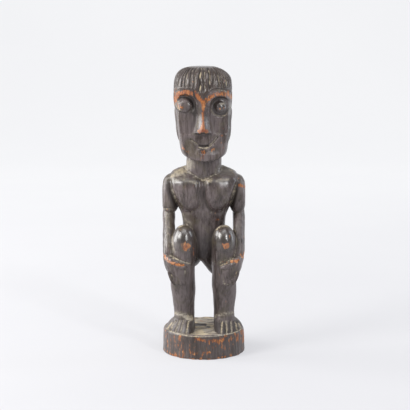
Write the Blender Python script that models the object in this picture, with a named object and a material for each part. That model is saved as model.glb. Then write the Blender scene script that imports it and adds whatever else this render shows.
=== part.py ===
"""Squatting guardian figure, carved with its round base from one block of hardwood.

The figure faces -Y. It squats with its hands on its shins, below the knees, and the body hangs clear
between the legs. The origin is at the centre of the base's underside, with +Z up.
"""

import math
from typing import NamedTuple

import bmesh
import bpy
import numpy as np
from mathutils import Matrix, Vector

# Driving sizes, in metres
BODY_HEIGHT = 0.2744
BASE_THICKNESS = 0.0256
BASE_RADIUS = 0.0435
BASE_TOP_TAPER = 0.0015
BASE_EDGE_ROUND = 0.0026
BASE_FOOT_ROUND = 0.0010

# The carving keeps its proportions: it is drawn in millimetres, for a body this high above the base
DRAWN_HEIGHT = 274.4
UNIT = BODY_HEIGHT / DRAWN_HEIGHT

# How finely the fused carving is cut, as drawn, and the share of its faces that the solid keeps
CARVING_GRAIN = 0.75
SOFTENING_PASSES = 2
KEPT_FACES = 0.0205
LOFT_STEPS = 4
LIMB_SIDES = 28
BODY_SIDES = 56
BASE_SIDES = 96

# The body leans a little as it rises: its middle line's x at these heights
LEAN_HEIGHTS = (0.0, 60.0, 110.0, 150.0, 240.0)
LEAN_OFFSETS = (0.8, 0.8, 0.2, 0.0, -1.1)

# Hair: locks all round the head, cut by V-shaped grooves
LOCK_COUNT = 44
HAIR_RAISE = 0.9
GROOVE_DEPTH = 1.6
GROOVE_SHARE = 0.5
GROOVE_START = 1.6
GROOVE_START_FADE = 2.0
GROOVE_END = 273.0
GROOVE_END_FADE = 3.0
HEAD_SIDES = LOCK_COUNT * 6
HEAD_RINGS = 130
HAIRLINE_DEGREES = (0, 7, 14, 20, 40, 60, 75, 88, 105, 120, 135, 180)
HAIRLINE_HEIGHTS = (243.0, 246.0, 251.0, 252.2, 252.4, 250.8, 247.6, 236.0, 229.0, 211.0, 199.0, 196.0)

# Face: the places and sizes of its carved parts, x across and z up, with the left eye before the right
EYES_X, EYES_Z = (18.0, 17.6), (235.6, 234.6)
SOCKETS, SOCKET_DEPTH = (10.9, 10.3), 3.6
EYEBALLS, EYEBALL_RISE = (8.8, 7.4), 5.2
NOSE_HEIGHTS = (206.4, 208.4, 210.0, 215.0, 221.0, 228.0, 236.0, 243.0)
NOSE_RIDGE = (22.0, 34.6, 35.8, 35.8, 35.0, 33.8, 32.8, 33.0)
NOSE_FOOT = (8.4, 8.2, 7.6, 6.0, 5.2, 5.6, 7.4, 8.0)
NOSE_TOP = (4.2, 4.0, 3.2, 1.6, 1.1, 1.5, 2.6, 3.0)
CHEEK_FORWARD = 27.0
CHEEK_HEIGHT = 232.0
MUZZLE_FORWARD = 23.0
MUZZLE_RISE = 7.6
MUZZLE_HEIGHT = 197.0
MUZZLE_HALF = (17.5, 15.5)
CHIN_FORWARD = 31.4
CHIN_HEIGHT = 188.0
MOUTH_Z, MOUTH_HALF, MOUTH_RISE, MOUTH_DEPTH = 194.6, 12.0, 4.2, 1.7

# Chest: two raised plates, with the groove of the breastbone between them
PLATE_X, PLATE_Z = 17.4, 140.5
PLATE_HALF, PLATE_TALL, PLATE_RAISE = 16.6, 17.5, 2.6


class Slice(NamedTuple):
    """One level of an upright form: height, front and back y, half-width and squareness."""

    z: float
    front: float
    back: float
    half: float
    square: float


class Station(NamedTuple):
    """One point along a limb: its place, and the limb's half-width and half-depth there."""

    x: float
    y: float
    z: float
    wide: float
    deep: float


HEAD = (
    Slice(178.6, -27.5, -12.0, 7.0, 2.0),
    Slice(180.4, -30.8, -6.0, 14.5, 2.1),
    Slice(184.4, -32.0, 4.0, 20.2, 2.4),
    Slice(188.4, -32.4, 14.0, 22.9, 2.6),
    Slice(194.4, -32.8, 19.0, 24.0, 2.8),
    Slice(200.0, -33.4, 23.0, 24.8, 2.9),
    Slice(212.4, -36.6, 25.5, 26.2, 3.0),
    Slice(228.4, -35.2, 27.5, 28.0, 3.0),
    Slice(240.0, -33.6, 28.5, 29.6, 3.0),
    Slice(250.0, -32.4, 28.3, 29.9, 2.9),
    Slice(258.0, -31.4, 27.6, 29.5, 2.8),
    Slice(264.0, -29.2, 26.0, 28.0, 2.6),
    Slice(269.0, -25.2, 22.8, 24.6, 2.4),
    Slice(272.2, -18.6, 17.2, 18.4, 2.3),
    Slice(273.8, -10.0, 9.6, 10.0, 2.1),
    Slice(274.3, -2.0, 2.0, 2.0, 2.0),
)

NECK = (
    Slice(150.0, -10.0, 18.0, 17.0, 2.2),
    Slice(163.0, -12.9, 19.5, 18.8, 2.3),
    Slice(170.0, -13.4, 19.8, 18.4, 2.3),
    Slice(180.0, -13.7, 20.2, 18.2, 2.3),
    Slice(190.0, -14.0, 20.5, 18.0, 2.3),
    Slice(198.0, -14.0, 18.0, 16.0, 2.3),
)

TORSO = (
    Slice(70.0, 0.0, 17.0, 5.0, 2.0),
    Slice(74.0, -3.5, 24.0, 12.0, 2.2),
    Slice(84.0, -6.0, 27.5, 19.5, 2.4),
    Slice(98.0, -8.0, 25.5, 22.2, 2.5),
    Slice(112.0, -8.8, 23.4, 22.4, 2.6),
    Slice(120.0, -10.5, 23.0, 23.6, 2.8),
    Slice(130.0, -13.0, 23.6, 27.6, 3.0),
    Slice(142.0, -15.6, 24.4, 31.8, 3.1),
    Slice(151.0, -16.8, 24.8, 35.0, 3.1),
    Slice(155.5, -16.0, 24.4, 36.2, 3.0),
    Slice(159.0, -13.4, 23.6, 35.8, 2.9),
    Slice(162.0, -9.0, 22.6, 33.4, 2.8),
    Slice(165.0, -3.6, 21.4, 28.4, 2.6),
    Slice(168.0, 1.4, 19.6, 21.0, 2.4),
    Slice(170.0, 5.0, 16.0, 12.0, 2.2),
)

UPPER_ARM = (
    Station(34.2, 5.0, 158.0, 6.0, 7.5),
    Station(34.5, 5.2, 152.0, 8.6, 10.6),
    Station(35.0, 5.6, 142.0, 8.5, 10.6),
    Station(35.3, 6.4, 132.0, 8.1, 10.6),
    Station(35.7, 7.2, 127.6, 7.6, 10.4),
    Station(36.3, 8.2, 124.8, 6.8, 9.4),
    Station(36.9, 9.0, 120.0, 5.0, 6.5),
)

FOREARM = (
    Station(36.7, 12.0, 129.0, 5.0, 7.0),
    Station(36.7, 9.0, 121.5, 6.4, 8.8),
    Station(36.7, 1.0, 111.0, 6.4, 8.8),
    Station(36.5, -8.0, 100.0, 6.5, 8.6),
    Station(36.2, -15.0, 90.0, 6.5, 8.2),
    Station(35.4, -19.5, 81.0, 6.8, 7.8),
    Station(34.0, -22.0, 74.0, 5.0, 6.0),
)

SHIN = (
    Station(21.2, -13.0, -3.0, 11.6, 13.0),
    Station(21.0, -12.8, 6.0, 11.0, 12.4),
    Station(20.9, -12.5, 14.0, 10.2, 11.4),
    Station(20.9, -12.6, 22.0, 10.0, 11.2),
    Station(21.2, -13.6, 32.0, 11.0, 12.2),
    Station(21.5, -15.2, 45.0, 12.0, 13.6),
    Station(21.3, -17.4, 60.0, 12.4, 14.4),
    Station(20.8, -19.6, 75.0, 12.3, 14.6),
    Station(20.6, -20.6, 88.0, 12.2, 14.6),
    Station(20.6, -20.4, 98.0, 11.4, 13.4),
    Station(20.6, -19.5, 104.0, 8.0, 9.0),
)

THIGH = (
    Station(20.4, -26.0, 99.0, 8.0, 9.0),
    Station(20.4, -20.0, 97.0, 11.4, 14.0),
    Station(19.6, -8.0, 89.0, 12.0, 14.4),
    Station(17.6, 4.0, 82.0, 12.8, 15.0),
    Station(15.8, 13.0, 78.5, 12.6, 14.6),
    Station(14.4, 20.0, 77.5, 11.0, 13.0),
    Station(14.0, 26.5, 77.0, 7.0, 8.5),
)

# The seat hangs lower on the right: height of its middle on the left and the right, and its half-height
SEAT_Z = (75.5, 73.5)
SEAT_TALL = (14.6, 18.0)

HAND_CUFF = (
    Station(27.4, -18.6, 75.4, 12.6, 14.0),
    Station(27.3, -18.8, 73.4, 15.1, 17.0),
    Station(26.4, -19.0, 67.0, 14.4, 17.2),
    Station(25.0, -18.6, 61.0, 13.5, 16.4),
    Station(23.0, -17.6, 52.2, 12.2, 15.2),
    Station(21.9, -16.6, 43.0, 11.7, 13.9),
    Station(21.5, -15.6, 35.0, 10.4, 12.2),
)
CUFF_TILT = 0.42

THUMB = (
    Station(37.6, -7.0, 80.0, 1.6, 1.6),
    Station(39.8, -15.5, 79.2, 2.5, 2.3),
    Station(38.4, -25.5, 77.0, 2.8, 2.4),
    Station(33.0, -32.6, 74.2, 2.9, 2.5),
    Station(27.0, -35.6, 72.2, 2.8, 2.4),
    Station(21.0, -35.8, 70.6, 2.4, 2.2),
    Station(16.6, -34.6, 69.8, 1.2, 1.2),
)

# Fingers: the first one's place across the hand, the step to the next and their slant in degrees
FINGER_COUNT, FINGER_X, FINGER_STEP, FINGER_SLANT = 4, 19.6, 4.1, 24.0

# Feet: a low dome from the ankle to the rim of the base, with grooves between the toes
ANKLE, ANKLE_RADIUS = (20.9, -12.6), 9.8
SOLE, SOLE_HALF, SOLE_DEEP, SOLE_SQUARE = (26.2, -14.0), 15.7, 25.0, 2.8
FOOT_RISE, FOOT_SIDES, FOOT_RINGS = 16.0, 120, 26
TOE_COUNT, TOE_START, TOE_END = 5, -30.0, 68.0
TOE_GROOVE, TOE_RIM_GAP = 2.8, 1.4


def lean(z):
    """How far the body's middle line stands to the side at a height above the base."""
    return float(np.interp(z, LEAN_HEIGHTS, LEAN_OFFSETS))


def placed(x, y, z):
    """A drawn point, set on the base and scaled to the real size."""
    return Vector(((x + lean(z)) * UNIT, y * UNIT, BASE_THICKNESS + z * UNIT))


def smoothed(rows, steps=LOFT_STEPS):
    """A Catmull-Rom curve through the rows, all columns at once, with steps points between two rows."""
    rows = np.array(rows, float)
    padded = np.vstack((2 * rows[0] - rows[1], rows, 2 * rows[-1] - rows[-2]))
    made = []
    for i in range(len(rows) - 1):
        before, start, end, after = padded[i : i + 4]
        for step in range(steps):
            t = step / steps
            made.append(
                0.5 * (2 * start + (end - before) * t + (2 * before - 5 * start + 4 * end - after) * t**2
                       + (3 * start - before - 3 * end + after) * t**3)
            )
    return np.array(made + [rows[-1]])


def skin(mesh, rings):
    """Adds a closed tube through the rings of points, with a flat face on each end."""
    loops = [[mesh.verts.new(point) for point in ring] for ring in rings]
    for lower, upper in zip(loops, loops[1:]):
        for i in range(len(lower)):
            mesh.faces.new((lower[i - 1], lower[i], upper[i], upper[i - 1]))
    mesh.faces.new(reversed(loops[0]))
    mesh.faces.new(loops[-1])


def outline_radius(angle, half, deep, square):
    """Radius of a superellipse at an angle from the front: square 2 is an ellipse, more is boxier."""
    return ((abs(np.sin(angle)) / half) ** square + (abs(np.cos(angle)) / deep) ** square) ** (-1 / square)


def upright(mesh, slices, sides=BODY_SIDES, raised=None):
    """Adds an upright form through its slices, with a relief on it where raised gives one."""
    rings = []
    for z, front, back, half, square in smoothed(slices, 8 if raised else LOFT_STEPS):
        middle, deep = (front + back) / 2, (back - front) / 2
        ring = []
        for k in range(sides):
            angle = 2 * math.pi * k / sides
            radius = outline_radius(angle, half, deep, square)
            x, y = radius * math.sin(angle), middle - radius * math.cos(angle)
            lift = raised(x, y, z) if raised else 0
            ring.append(placed(x, y - lift, z))
        rings.append(ring)
    skin(mesh, rings)


def limb(mesh, stations, side, across=Vector((1, 0, 0)), sides=LIMB_SIDES, tilt=0.0):
    """Adds a limb through its stations, on the left (-1) or the right (1), each ring square to its path."""
    rows = smoothed(stations)
    path = [Vector(row[:3]) for row in rows]
    rings = []
    for i, (x, y, z, wide, deep) in enumerate(rows):
        along = (path[min(i + 1, len(path) - 1)] - path[max(i - 1, 0)]).normalized()
        flat = (across - across.dot(along) * along).normalized()
        up = along.cross(flat)
        ring = []
        for k in range(sides):
            angle = 2 * math.pi * k / sides
            point = Vector((x, y, z)) + flat * wide * math.cos(angle) + up * deep * math.sin(angle)
            point.z += tilt * (point.x - x)
            ring.append(placed(side * point.x, point.y, point.z))
        rings.append(ring)
    skin(mesh, rings)


def ball(mesh, centre, radii, side=1, turn=Matrix.Identity(4)):
    """Adds an ellipsoid with its centre and radii as drawn, turned about its own centre."""
    x, y, z = centre
    place = Matrix.Translation(placed(side * x, y, z))
    size = Matrix.Diagonal((*(UNIT * radius for radius in radii), 1))
    bmesh.ops.create_icosphere(mesh, subdivisions=4, radius=1, matrix=place @ turn @ size)


def hair_top(angle):
    """How much of the hair covers a place: nothing below the hairline, and all of it just above."""
    return np.interp(abs(np.degrees(angle)), HAIRLINE_DEGREES, HAIRLINE_HEIGHTS)


def hair_raise(angle, z):
    """Height of the hair over the head: a raised cap cut by one V-shaped groove beside each lock."""
    above = z - hair_top(angle)
    cap = np.clip(above / 0.9 + 0.5, 0, 1) * HAIR_RAISE
    phase = (angle * LOCK_COUNT / (2 * math.pi)) % 1.0
    groove = np.clip(1 - 2 * abs(phase - 0.5) / GROOVE_SHARE, 0, 1)
    length = np.clip((above - GROOVE_START) / GROOVE_START_FADE, 0, 1) * np.clip((GROOVE_END - z) / GROOVE_END_FADE, 0, 1)
    return cap - GROOVE_DEPTH * groove * length


def smooth_most(*levels, blend=1.2):
    """The highest of several surfaces, with soft creases between them."""
    total = sum(np.exp(level / blend) for level in levels)
    return blend * np.log(total)


def of_side(x, pair):
    """The left or the right value of a pair, by the side that x is on."""
    return np.where(x < 0, pair[0], pair[1])


def eye_relief(x, z):
    """Depth of the socket under the cheek's plane, with the eyeball's dome standing in it."""
    ring = np.hypot(abs(x) - of_side(x, EYES_X), z - of_side(x, EYES_Z))
    bowl = -SOCKET_DEPTH * np.clip(1 - (ring / of_side(x, SOCKETS)) ** 2, 0, 1) ** 0.5
    dome = EYEBALL_RISE * np.clip(1 - (ring / of_side(x, EYEBALLS)) ** 2, 0, 1) ** 0.5 - SOCKET_DEPTH
    return np.where(dome > -SOCKET_DEPTH, np.maximum(bowl, dome), bowl)


def brow_share(x, z):
    """1 where the brow stands at the blank's full depth, above the two arcs over the eyes, and 0 under them."""
    below = z - of_side(x, EYES_Z)
    aside = abs(x) - of_side(x, EYES_X)
    past = np.where(below > 0, np.hypot(aside, below), np.where(aside < 0, -aside, 0)) - of_side(x, SOCKETS)
    return np.clip(past / 1.4 + 0.5, 0, 1) * np.clip(1 + below / 9.0, 0, 1)


def face_front(x, z, blank):
    """How far forward the carved face stands: brow, cheeks, a wedge of a nose, muzzle, chin and eyes."""
    across = abs(x)
    cheeks = CHEEK_FORWARD - 0.0036 * x**2 - 0.045 * np.clip(CHEEK_HEIGHT - z, 0, 60)
    ridge, foot, top = (np.interp(z, NOSE_HEIGHTS, values) for values in (NOSE_RIDGE, NOSE_FOOT, NOSE_TOP))
    nose = ridge - (ridge - cheeks) * np.clip((across - top) / (foot - top), 0, 1.3)
    from_muzzle = np.sqrt((x / MUZZLE_HALF[0]) ** 2 + ((z - MUZZLE_HEIGHT) / MUZZLE_HALF[1]) ** 2)
    muzzle = MUZZLE_FORWARD + MUZZLE_RISE * np.clip(1 - from_muzzle**2.2, 0, 1)
    chin = CHIN_FORWARD - 0.030 * x**2 - 0.9 * np.clip(z - CHIN_HEIGHT, 0, 40)
    plane = smooth_most(cheeks + eye_relief(x, z), muzzle, chin, nose, blend=0.9)
    smile = MOUTH_Z + MOUTH_RISE * (x / MOUTH_HALF) ** 2
    ends = np.clip((MOUTH_HALF + 1.0 - across) / 5.0, 0, 1)
    plane = plane - MOUTH_DEPTH * ends * np.exp(-(((z - smile) / 1.3) ** 2))
    return plane + (blank - plane) * brow_share(x, z)


def carved_face(points):
    """Cuts the face into the head's blank, wherever the blank stands in front of it."""
    x, y, z = points
    cut = np.clip(-y - face_front(x, z, -y), 0, None) * (y < 0)
    return np.array((x, y + cut, z))


def head(mesh):
    """Adds the head: a blank through its slices, with the hair raised and the face cut in."""
    levels = smoothed(HEAD, 8)
    heights = np.linspace(HEAD[0].z, HEAD[-1].z, HEAD_RINGS)
    front, back, half, square = (np.interp(heights, levels[:, 0], levels[:, k])[:, None] for k in range(1, 5))
    angle = np.linspace(-math.pi, math.pi, HEAD_SIDES, endpoint=False)[None, :]
    z = np.repeat(heights[:, None], HEAD_SIDES, axis=1)
    radius = outline_radius(angle, half, (back - front) / 2, square)
    x, y = radius * np.sin(angle), (front + back) / 2 - radius * np.cos(angle)
    points = carved_face(np.array((x, y, z)))
    lift = hair_raise(angle, z)
    points = points + lift * np.array((np.sin(angle) + 0 * z, -np.cos(angle) + 0 * z, 0 * z))
    skin(mesh, [[placed(*points[:, i, k]) for k in range(HEAD_SIDES)] for i in range(HEAD_RINGS)])


def ears(mesh, side):
    """Adds a long, flat ear in two lobes behind the edge of the face."""
    ball(mesh, (25.8, 4.0, 217.6), (2.9, 6.4, 9.6), side)
    ball(mesh, (24.3, 4.0, 202.2), (2.8, 5.2, 9.0), side)


def chest_raise(x, y, z):
    """Height of the chest's two plates over the torso."""
    past = (abs(abs(x) - PLATE_X) / PLATE_HALF) ** 2.6 + (abs(z - PLATE_Z) / PLATE_TALL) ** 2.6
    return PLATE_RAISE * np.clip(1 - past, 0, 1) ** 0.6 * (y < 0)


def shoulder(mesh, side):
    """Adds the round top of the arm, which the shoulder's slope runs into."""
    ball(mesh, (32.8, 5.2, 151.6), (10.4, 12.0, 11.2), side)


def seat(mesh, side):
    """Adds one side of the seat, under the thigh."""
    middle, tall = (SEAT_Z[side > 0], SEAT_TALL[side > 0])
    ball(mesh, (13.4, 14.6, middle), (12.4, 17.4, tall), side)


def hand(mesh, side):
    """Adds a hand laid on the shin: the back of the hand, the thumb along its top and the fingers."""
    limb(mesh, HAND_CUFF, side, sides=40, tilt=CUFF_TILT)
    limb(mesh, THUMB, side, across=Vector((0, 0, 1)), sides=14)
    for finger in range(FINGER_COUNT):
        x = FINGER_X + FINGER_STEP * finger
        bulge = math.sqrt(1 - ((x - 24.4) / 13.4) ** 2)
        lean_in = Matrix.Rotation(side * math.radians(FINGER_SLANT), 4, "Y")
        lying = lean_in @ Matrix.Rotation(math.radians(-8), 4, "X")
        ball(mesh, (x + 3.0, -17.6 - 15.1 * bulge, 58.2), (2.2, 1.9, 8.4), side, lying)


def foot_reach(turn):
    """How far the sole runs from its own centre, within its outline and the rim of the base."""
    own = outline_radius(turn, SOLE_HALF, SOLE_DEEP, SOLE_SQUARE)
    rim = (BASE_RADIUS - BASE_TOP_TAPER) / UNIT - TOE_RIM_GAP
    ahead = SOLE[0] * math.sin(turn) - SOLE[1] * math.cos(turn)
    to_rim = -ahead + math.sqrt(ahead**2 + rim**2 - SOLE[0] ** 2 - SOLE[1] ** 2)
    return -0.8 * math.log(math.exp(-own / 0.8) + math.exp(-to_rim / 0.8))


def toe_groove(turn, z):
    """Depth of the grooves between the toes, by the angle outward from the front and the height."""
    place = (math.degrees(turn) - TOE_START) / (TOE_END - TOE_START) * TOE_COUNT
    if not -0.3 < place < TOE_COUNT + 0.3:
        return 0.0
    from_edge = abs(place - round(place))
    return TOE_GROOVE * max(0.0, 1 - from_edge / 0.3) * min(1.0, max(0.0, (FOOT_RISE - 3.0 - z) / 3.0))


def foot(mesh, side):
    """Adds a foot: a low dome from the ankle to the rim of the base, with its toes fanned out in front."""
    rings = []
    for i in range(FOOT_RINGS):
        z = FOOT_RISE * (-0.2 + 1.2 * i / (FOOT_RINGS - 1))
        spread = (1 - (max(z, 0) / FOOT_RISE) ** 1.6) ** 0.8
        ring = []
        for k in range(FOOT_SIDES):
            turn = math.remainder(2 * math.pi * k / FOOT_SIDES, 2 * math.pi)
            reach = ANKLE_RADIUS + (foot_reach(turn) - ANKLE_RADIUS) * spread - toe_groove(turn, z)
            x = ANKLE[0] + (SOLE[0] - ANKLE[0]) * spread + reach * math.sin(turn)
            y = ANKLE[1] + (SOLE[1] - ANKLE[1]) * spread - reach * math.cos(turn)
            ring.append(placed(side * x, y, z))
        rings.append(ring)
    skin(mesh, rings)


def body_blank():
    """All the forms of the figure in one mesh, overlapping where they are one piece of wood."""
    mesh = bmesh.new()
    head(mesh)
    upright(mesh, NECK)
    upright(mesh, TORSO, sides=2 * BODY_SIDES, raised=chest_raise)
    for side in (-1, 1):
        ears(mesh, side)
        shoulder(mesh, side)
        limb(mesh, UPPER_ARM, side)
        limb(mesh, FOREARM, side)
        limb(mesh, SHIN, side)
        limb(mesh, THIGH, side)
        seat(mesh, side)
        ball(mesh, (20.6, -22.0, 94.5), (12.5, 15.0, 18.0), side)
        hand(mesh, side)
        foot(mesh, side)
    return mesh


def base_profile():
    """The base's turned outline, from the axis below to the axis above: barrel-sided, with rounded edges."""
    edge = BASE_RADIUS - BASE_TOP_TAPER
    outline = [(0.0, 0.0), (BASE_RADIUS - BASE_FOOT_ROUND, 0.0)]
    for step in range(7):
        up = BASE_FOOT_ROUND + (BASE_THICKNESS - BASE_EDGE_ROUND - BASE_FOOT_ROUND) * step / 6
        outline.append((BASE_RADIUS - BASE_TOP_TAPER * (up / BASE_THICKNESS) ** 2, up))
    for step in range(1, 7):
        turn = math.pi / 2 * step / 6
        inward, down = BASE_EDGE_ROUND * (1 - math.cos(turn)), BASE_EDGE_ROUND * (1 - math.sin(turn))
        outline.append((edge - inward, BASE_THICKNESS - down))
    return outline + [(0.0, BASE_THICKNESS)]


def base_disc():
    """The round base, as a hidden helper that the figure is joined to."""
    mesh = bmesh.new()
    points = [mesh.verts.new((r, 0, z)) for r, z in base_profile()]
    edges = [mesh.edges.new(pair) for pair in zip(points, points[1:])]
    bmesh.ops.spin(
        mesh, geom=points + edges, cent=(0, 0, 0), axis=(0, 0, 1), angle=2 * math.pi, steps=BASE_SIDES, use_merge=True
    )
    bmesh.ops.remove_doubles(mesh, verts=mesh.verts, dist=1e-6)
    bmesh.ops.recalc_face_normals(mesh, faces=mesh.faces)
    return mesh


def new_object(name, mesh):
    """Puts a bmesh in the scene as an object."""
    data = bpy.data.meshes.new(name)
    mesh.to_mesh(data)
    mesh.free()
    made = bpy.data.objects.new(name, data)
    bpy.context.scene.collection.objects.link(made)
    return made


def stained_wood():
    """Dark stained hardwood with a dull polish."""
    material = bpy.data.materials.new("stained_wood")
    material.use_nodes = True
    shader = material.node_tree.nodes["Principled BSDF"]
    shader.inputs["Base Color"].default_value = (0.075, 0.055, 0.048, 1)
    shader.inputs["Roughness"].default_value = 0.45
    shader.inputs["Metallic"].default_value = 0.0
    return material


def main():
    """Clears the scene and builds the figure as one solid."""
    for old in list(bpy.data.objects):
        bpy.data.objects.remove(old)
    base = new_object("base_disc", base_disc())
    base.hide_render = True
    base.display_type = "WIRE"
    figure = new_object("guardian_figure", body_blank())
    figure.data.materials.append(stained_wood())
    fused = figure.modifiers.new("fuse", "REMESH")
    fused.mode = "VOXEL"
    fused.voxel_size = CARVING_GRAIN * UNIT
    fused.use_smooth_shade = True
    soften = figure.modifiers.new("soften", "SMOOTH")
    soften.factor = 0.5
    soften.iterations = SOFTENING_PASSES
    thin = figure.modifiers.new("thin", "DECIMATE")
    thin.ratio = KEPT_FACES
    join = figure.modifiers.new("base", "BOOLEAN")
    join.operation = "UNION"
    join.solver = "EXACT"
    join.object = base


main()
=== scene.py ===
"""Visual model of a squatting guardian figure, carved with its round base from one block of dark hardwood.

The carving is built from two-parameter surfaces that are fused into one skin, finished with fine relief,
and coloured by a wood material that carries the dust in its recesses, painted shade in its recesses,
creases and low places, a few painted highlights in the dust's colour, and the orange wood where the
dark stain has worn away.

Lengths are in millimetres until a mesh is written. Figure coordinates have z = 0 on the base's top, x to the
viewer's right and y away from the viewer, before the body's slight sideways lean is added.
"""

import logging
import math
from dataclasses import dataclass, field
from enum import Enum
from typing import Callable, Iterable, Sequence

import bpy
import numpy as np
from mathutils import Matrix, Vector


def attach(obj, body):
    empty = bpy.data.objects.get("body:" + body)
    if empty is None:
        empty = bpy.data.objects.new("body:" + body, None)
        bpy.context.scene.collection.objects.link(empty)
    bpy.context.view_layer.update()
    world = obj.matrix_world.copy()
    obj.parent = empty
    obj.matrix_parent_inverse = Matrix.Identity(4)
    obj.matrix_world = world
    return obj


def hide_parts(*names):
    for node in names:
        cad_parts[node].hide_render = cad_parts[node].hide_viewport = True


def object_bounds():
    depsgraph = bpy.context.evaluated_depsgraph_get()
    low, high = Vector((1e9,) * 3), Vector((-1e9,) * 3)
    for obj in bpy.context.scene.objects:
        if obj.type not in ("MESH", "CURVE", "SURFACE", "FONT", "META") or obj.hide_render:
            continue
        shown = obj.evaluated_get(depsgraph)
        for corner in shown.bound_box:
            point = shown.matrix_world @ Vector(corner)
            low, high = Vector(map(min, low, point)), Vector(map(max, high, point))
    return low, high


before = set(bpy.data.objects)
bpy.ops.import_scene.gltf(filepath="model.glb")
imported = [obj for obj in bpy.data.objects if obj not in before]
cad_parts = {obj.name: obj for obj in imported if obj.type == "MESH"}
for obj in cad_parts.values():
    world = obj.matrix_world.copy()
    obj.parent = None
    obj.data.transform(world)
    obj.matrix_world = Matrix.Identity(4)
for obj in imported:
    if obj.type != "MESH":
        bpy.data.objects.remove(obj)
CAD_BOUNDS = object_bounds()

Array = np.ndarray
Path = Sequence[tuple[float, float]]

logging.basicConfig(level=logging.INFO, format="%(name)s: %(message)s")
LOG = logging.getLogger("guardian")

METRES = 0.001
BASE_TOP = 25.6
MASKS = ("dust", "wear", "dark", "hair", "polish")


# Number work shared by the forms


def catmull(rows: Sequence[Sequence[float]], steps: int) -> Array:
    """Points of a smooth curve through every row, all columns at once.

    Between two rows b and c, with a before and d after them, the curve is
    0.5 (2b + (c - a) t + (2a - 5b + 4c - d) t^2 + (3b - a - 3c + d) t^3).

    Args:
        rows: The values to pass through, one row for each station.
        steps: Number of points from one row to the next.

    Returns:
        An array with one row for each point of the curve.
    """
    known = np.array(rows, float)
    padded = np.vstack((2 * known[0] - known[1], known, 2 * known[-1] - known[-2]))
    a, b, c, d = (padded[i : len(padded) - 3 + i, None] for i in range(4))
    t = np.linspace(0, 1, steps, endpoint=False)[None, :, None]
    curve = 0.5 * (2 * b + (c - a) * t + (2 * a - 5 * b + 4 * c - d) * t**2 + (3 * b - a - 3 * c + d) * t**3)
    return np.concatenate((curve.reshape(-1, known.shape[1]), known[-1:]))


def around(sides: int) -> Array:
    """Angles once round a form, from its back to its front and on to its back.

    Args:
        sides: Number of angles.

    Returns:
        The angles in radians, 0 at the front and growing towards +X, as one row.
    """
    return np.linspace(-math.pi, math.pi, sides, endpoint=False)[None, :]


def outline_radius(angle: Array, half: Array, deep: Array, square: Array) -> Array:
    """Radius of a superellipse: (|sin a| / half)^n + (|cos a| / deep)^n, to the power -1/n.

    Args:
        angle: Angle from the front.
        half: Half-width across x.
        deep: Half-depth along y.
        square: The power n: 2 is an ellipse, and more is boxier.

    Returns:
        The radius at each angle.
    """
    return ((abs(np.sin(angle)) / half) ** square + (abs(np.cos(angle)) / deep) ** square) ** (-1 / square)


def ramp(value: Array, low: float, high: float) -> Array:
    """Smooth step from 0 at low to 1 at high: t^2 (3 - 2t).

    Args:
        value: The numbers to map.
        low: Where the step starts.
        high: Where it ends. It may be under low, and then the step falls.

    Returns:
        Numbers from 0 to 1.
    """
    t = np.clip((value - low) / (high - low), 0, 1)
    return t * t * (3 - 2 * t)


def line_distance(x: Array, z: Array, path: Path) -> Array:
    """Distance from each point to the nearest place on a polyline, seen from the front.

    Args:
        x: Sideways places.
        z: Heights.
        path: Corners of the polyline.

    Returns:
        The distances.
    """
    nearest = np.full(np.broadcast(x, z).shape, np.inf)
    for (x0, z0), (x1, z1) in zip(path, path[1:]):
        dx, dz = x1 - x0, z1 - z0
        t = np.clip(((x - x0) * dx + (z - z0) * dz) / (dx * dx + dz * dz), 0, 1)
        nearest = np.minimum(nearest, np.hypot(x - x0 - t * dx, z - z0 - t * dz))
    return nearest


def stroke(x: Array, z: Array, path: Path, width: float) -> Array:
    """A soft line, 1 on the polyline and falling as exp(-(distance / width)^2).

    Args:
        x: Sideways places.
        z: Heights.
        path: Corners of the polyline.
        width: Distance at which the line has faded to about a third.

    Returns:
        Numbers from 0 to 1.
    """
    return np.exp(-((line_distance(x, z, path) / width) ** 2))


def strokes(x: Array, z: Array, paths: Sequence[Path], width: float) -> Array:
    """The strongest of several soft lines of one width at each place."""
    return np.max([stroke(x, z, path, width) for path in paths], axis=0)


def panel(x: Array, z: Array, path: Path, edge: float) -> Array:
    """1 well inside a closed polygon, 0 outside it, with a smooth step of this width inside its edge.

    Args:
        x: Sideways places.
        z: Heights.
        path: Corners of the polygon, in order.
        edge: Width of the step.

    Returns:
        Numbers from 0 to 1.
    """
    closed = [*path, path[0]]
    inside = np.zeros(np.broadcast(x, z).shape, bool)
    for (x0, z0), (x1, z1) in zip(closed, closed[1:]):
        if z0 == z1:
            continue
        crosses = (z0 > z) != (z1 > z)
        inside ^= crosses & (x < (x1 - x0) * (z - z0) / (z1 - z0) + x0)
    return inside * ramp(line_distance(x, z, closed), 0, edge)


def ripple(points: Array, size: float, seed: int, waves: int = 20) -> Array:
    """Smooth, repeatable noise: the mean of sine waves in random directions, scaled to about -1 to 1.

    Args:
        points: Places, with x, y and z in the last axis.
        size: Typical length of one wave.
        seed: Picks the waves.
        waves: Number of waves.

    Returns:
        One number for each point.
    """
    rng = np.random.default_rng(seed)
    direction = rng.normal(size=(waves, 3))
    direction /= np.linalg.norm(direction, axis=1, keepdims=True)
    pace = 2 * math.pi / (size * rng.uniform(0.7, 1.6, waves))
    phase = rng.uniform(0, 2 * math.pi, waves)
    total = np.zeros(points.shape[:-1])
    for way, speed, start in zip(direction, pace, phase):
        total += np.sin(points @ (way * speed) + start)
    return total / math.sqrt(waves / 2) * 0.6


def smooth_most(levels: Iterable[Array], blend: float) -> Array:
    """The highest of several surfaces with soft creases: blend log(sum exp(level / blend)).

    Args:
        levels: The surfaces' heights.
        blend: How far the creases spread.

    Returns:
        The joined surface's height.
    """
    return blend * np.log(sum(np.exp(level / blend) for level in levels))


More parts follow.
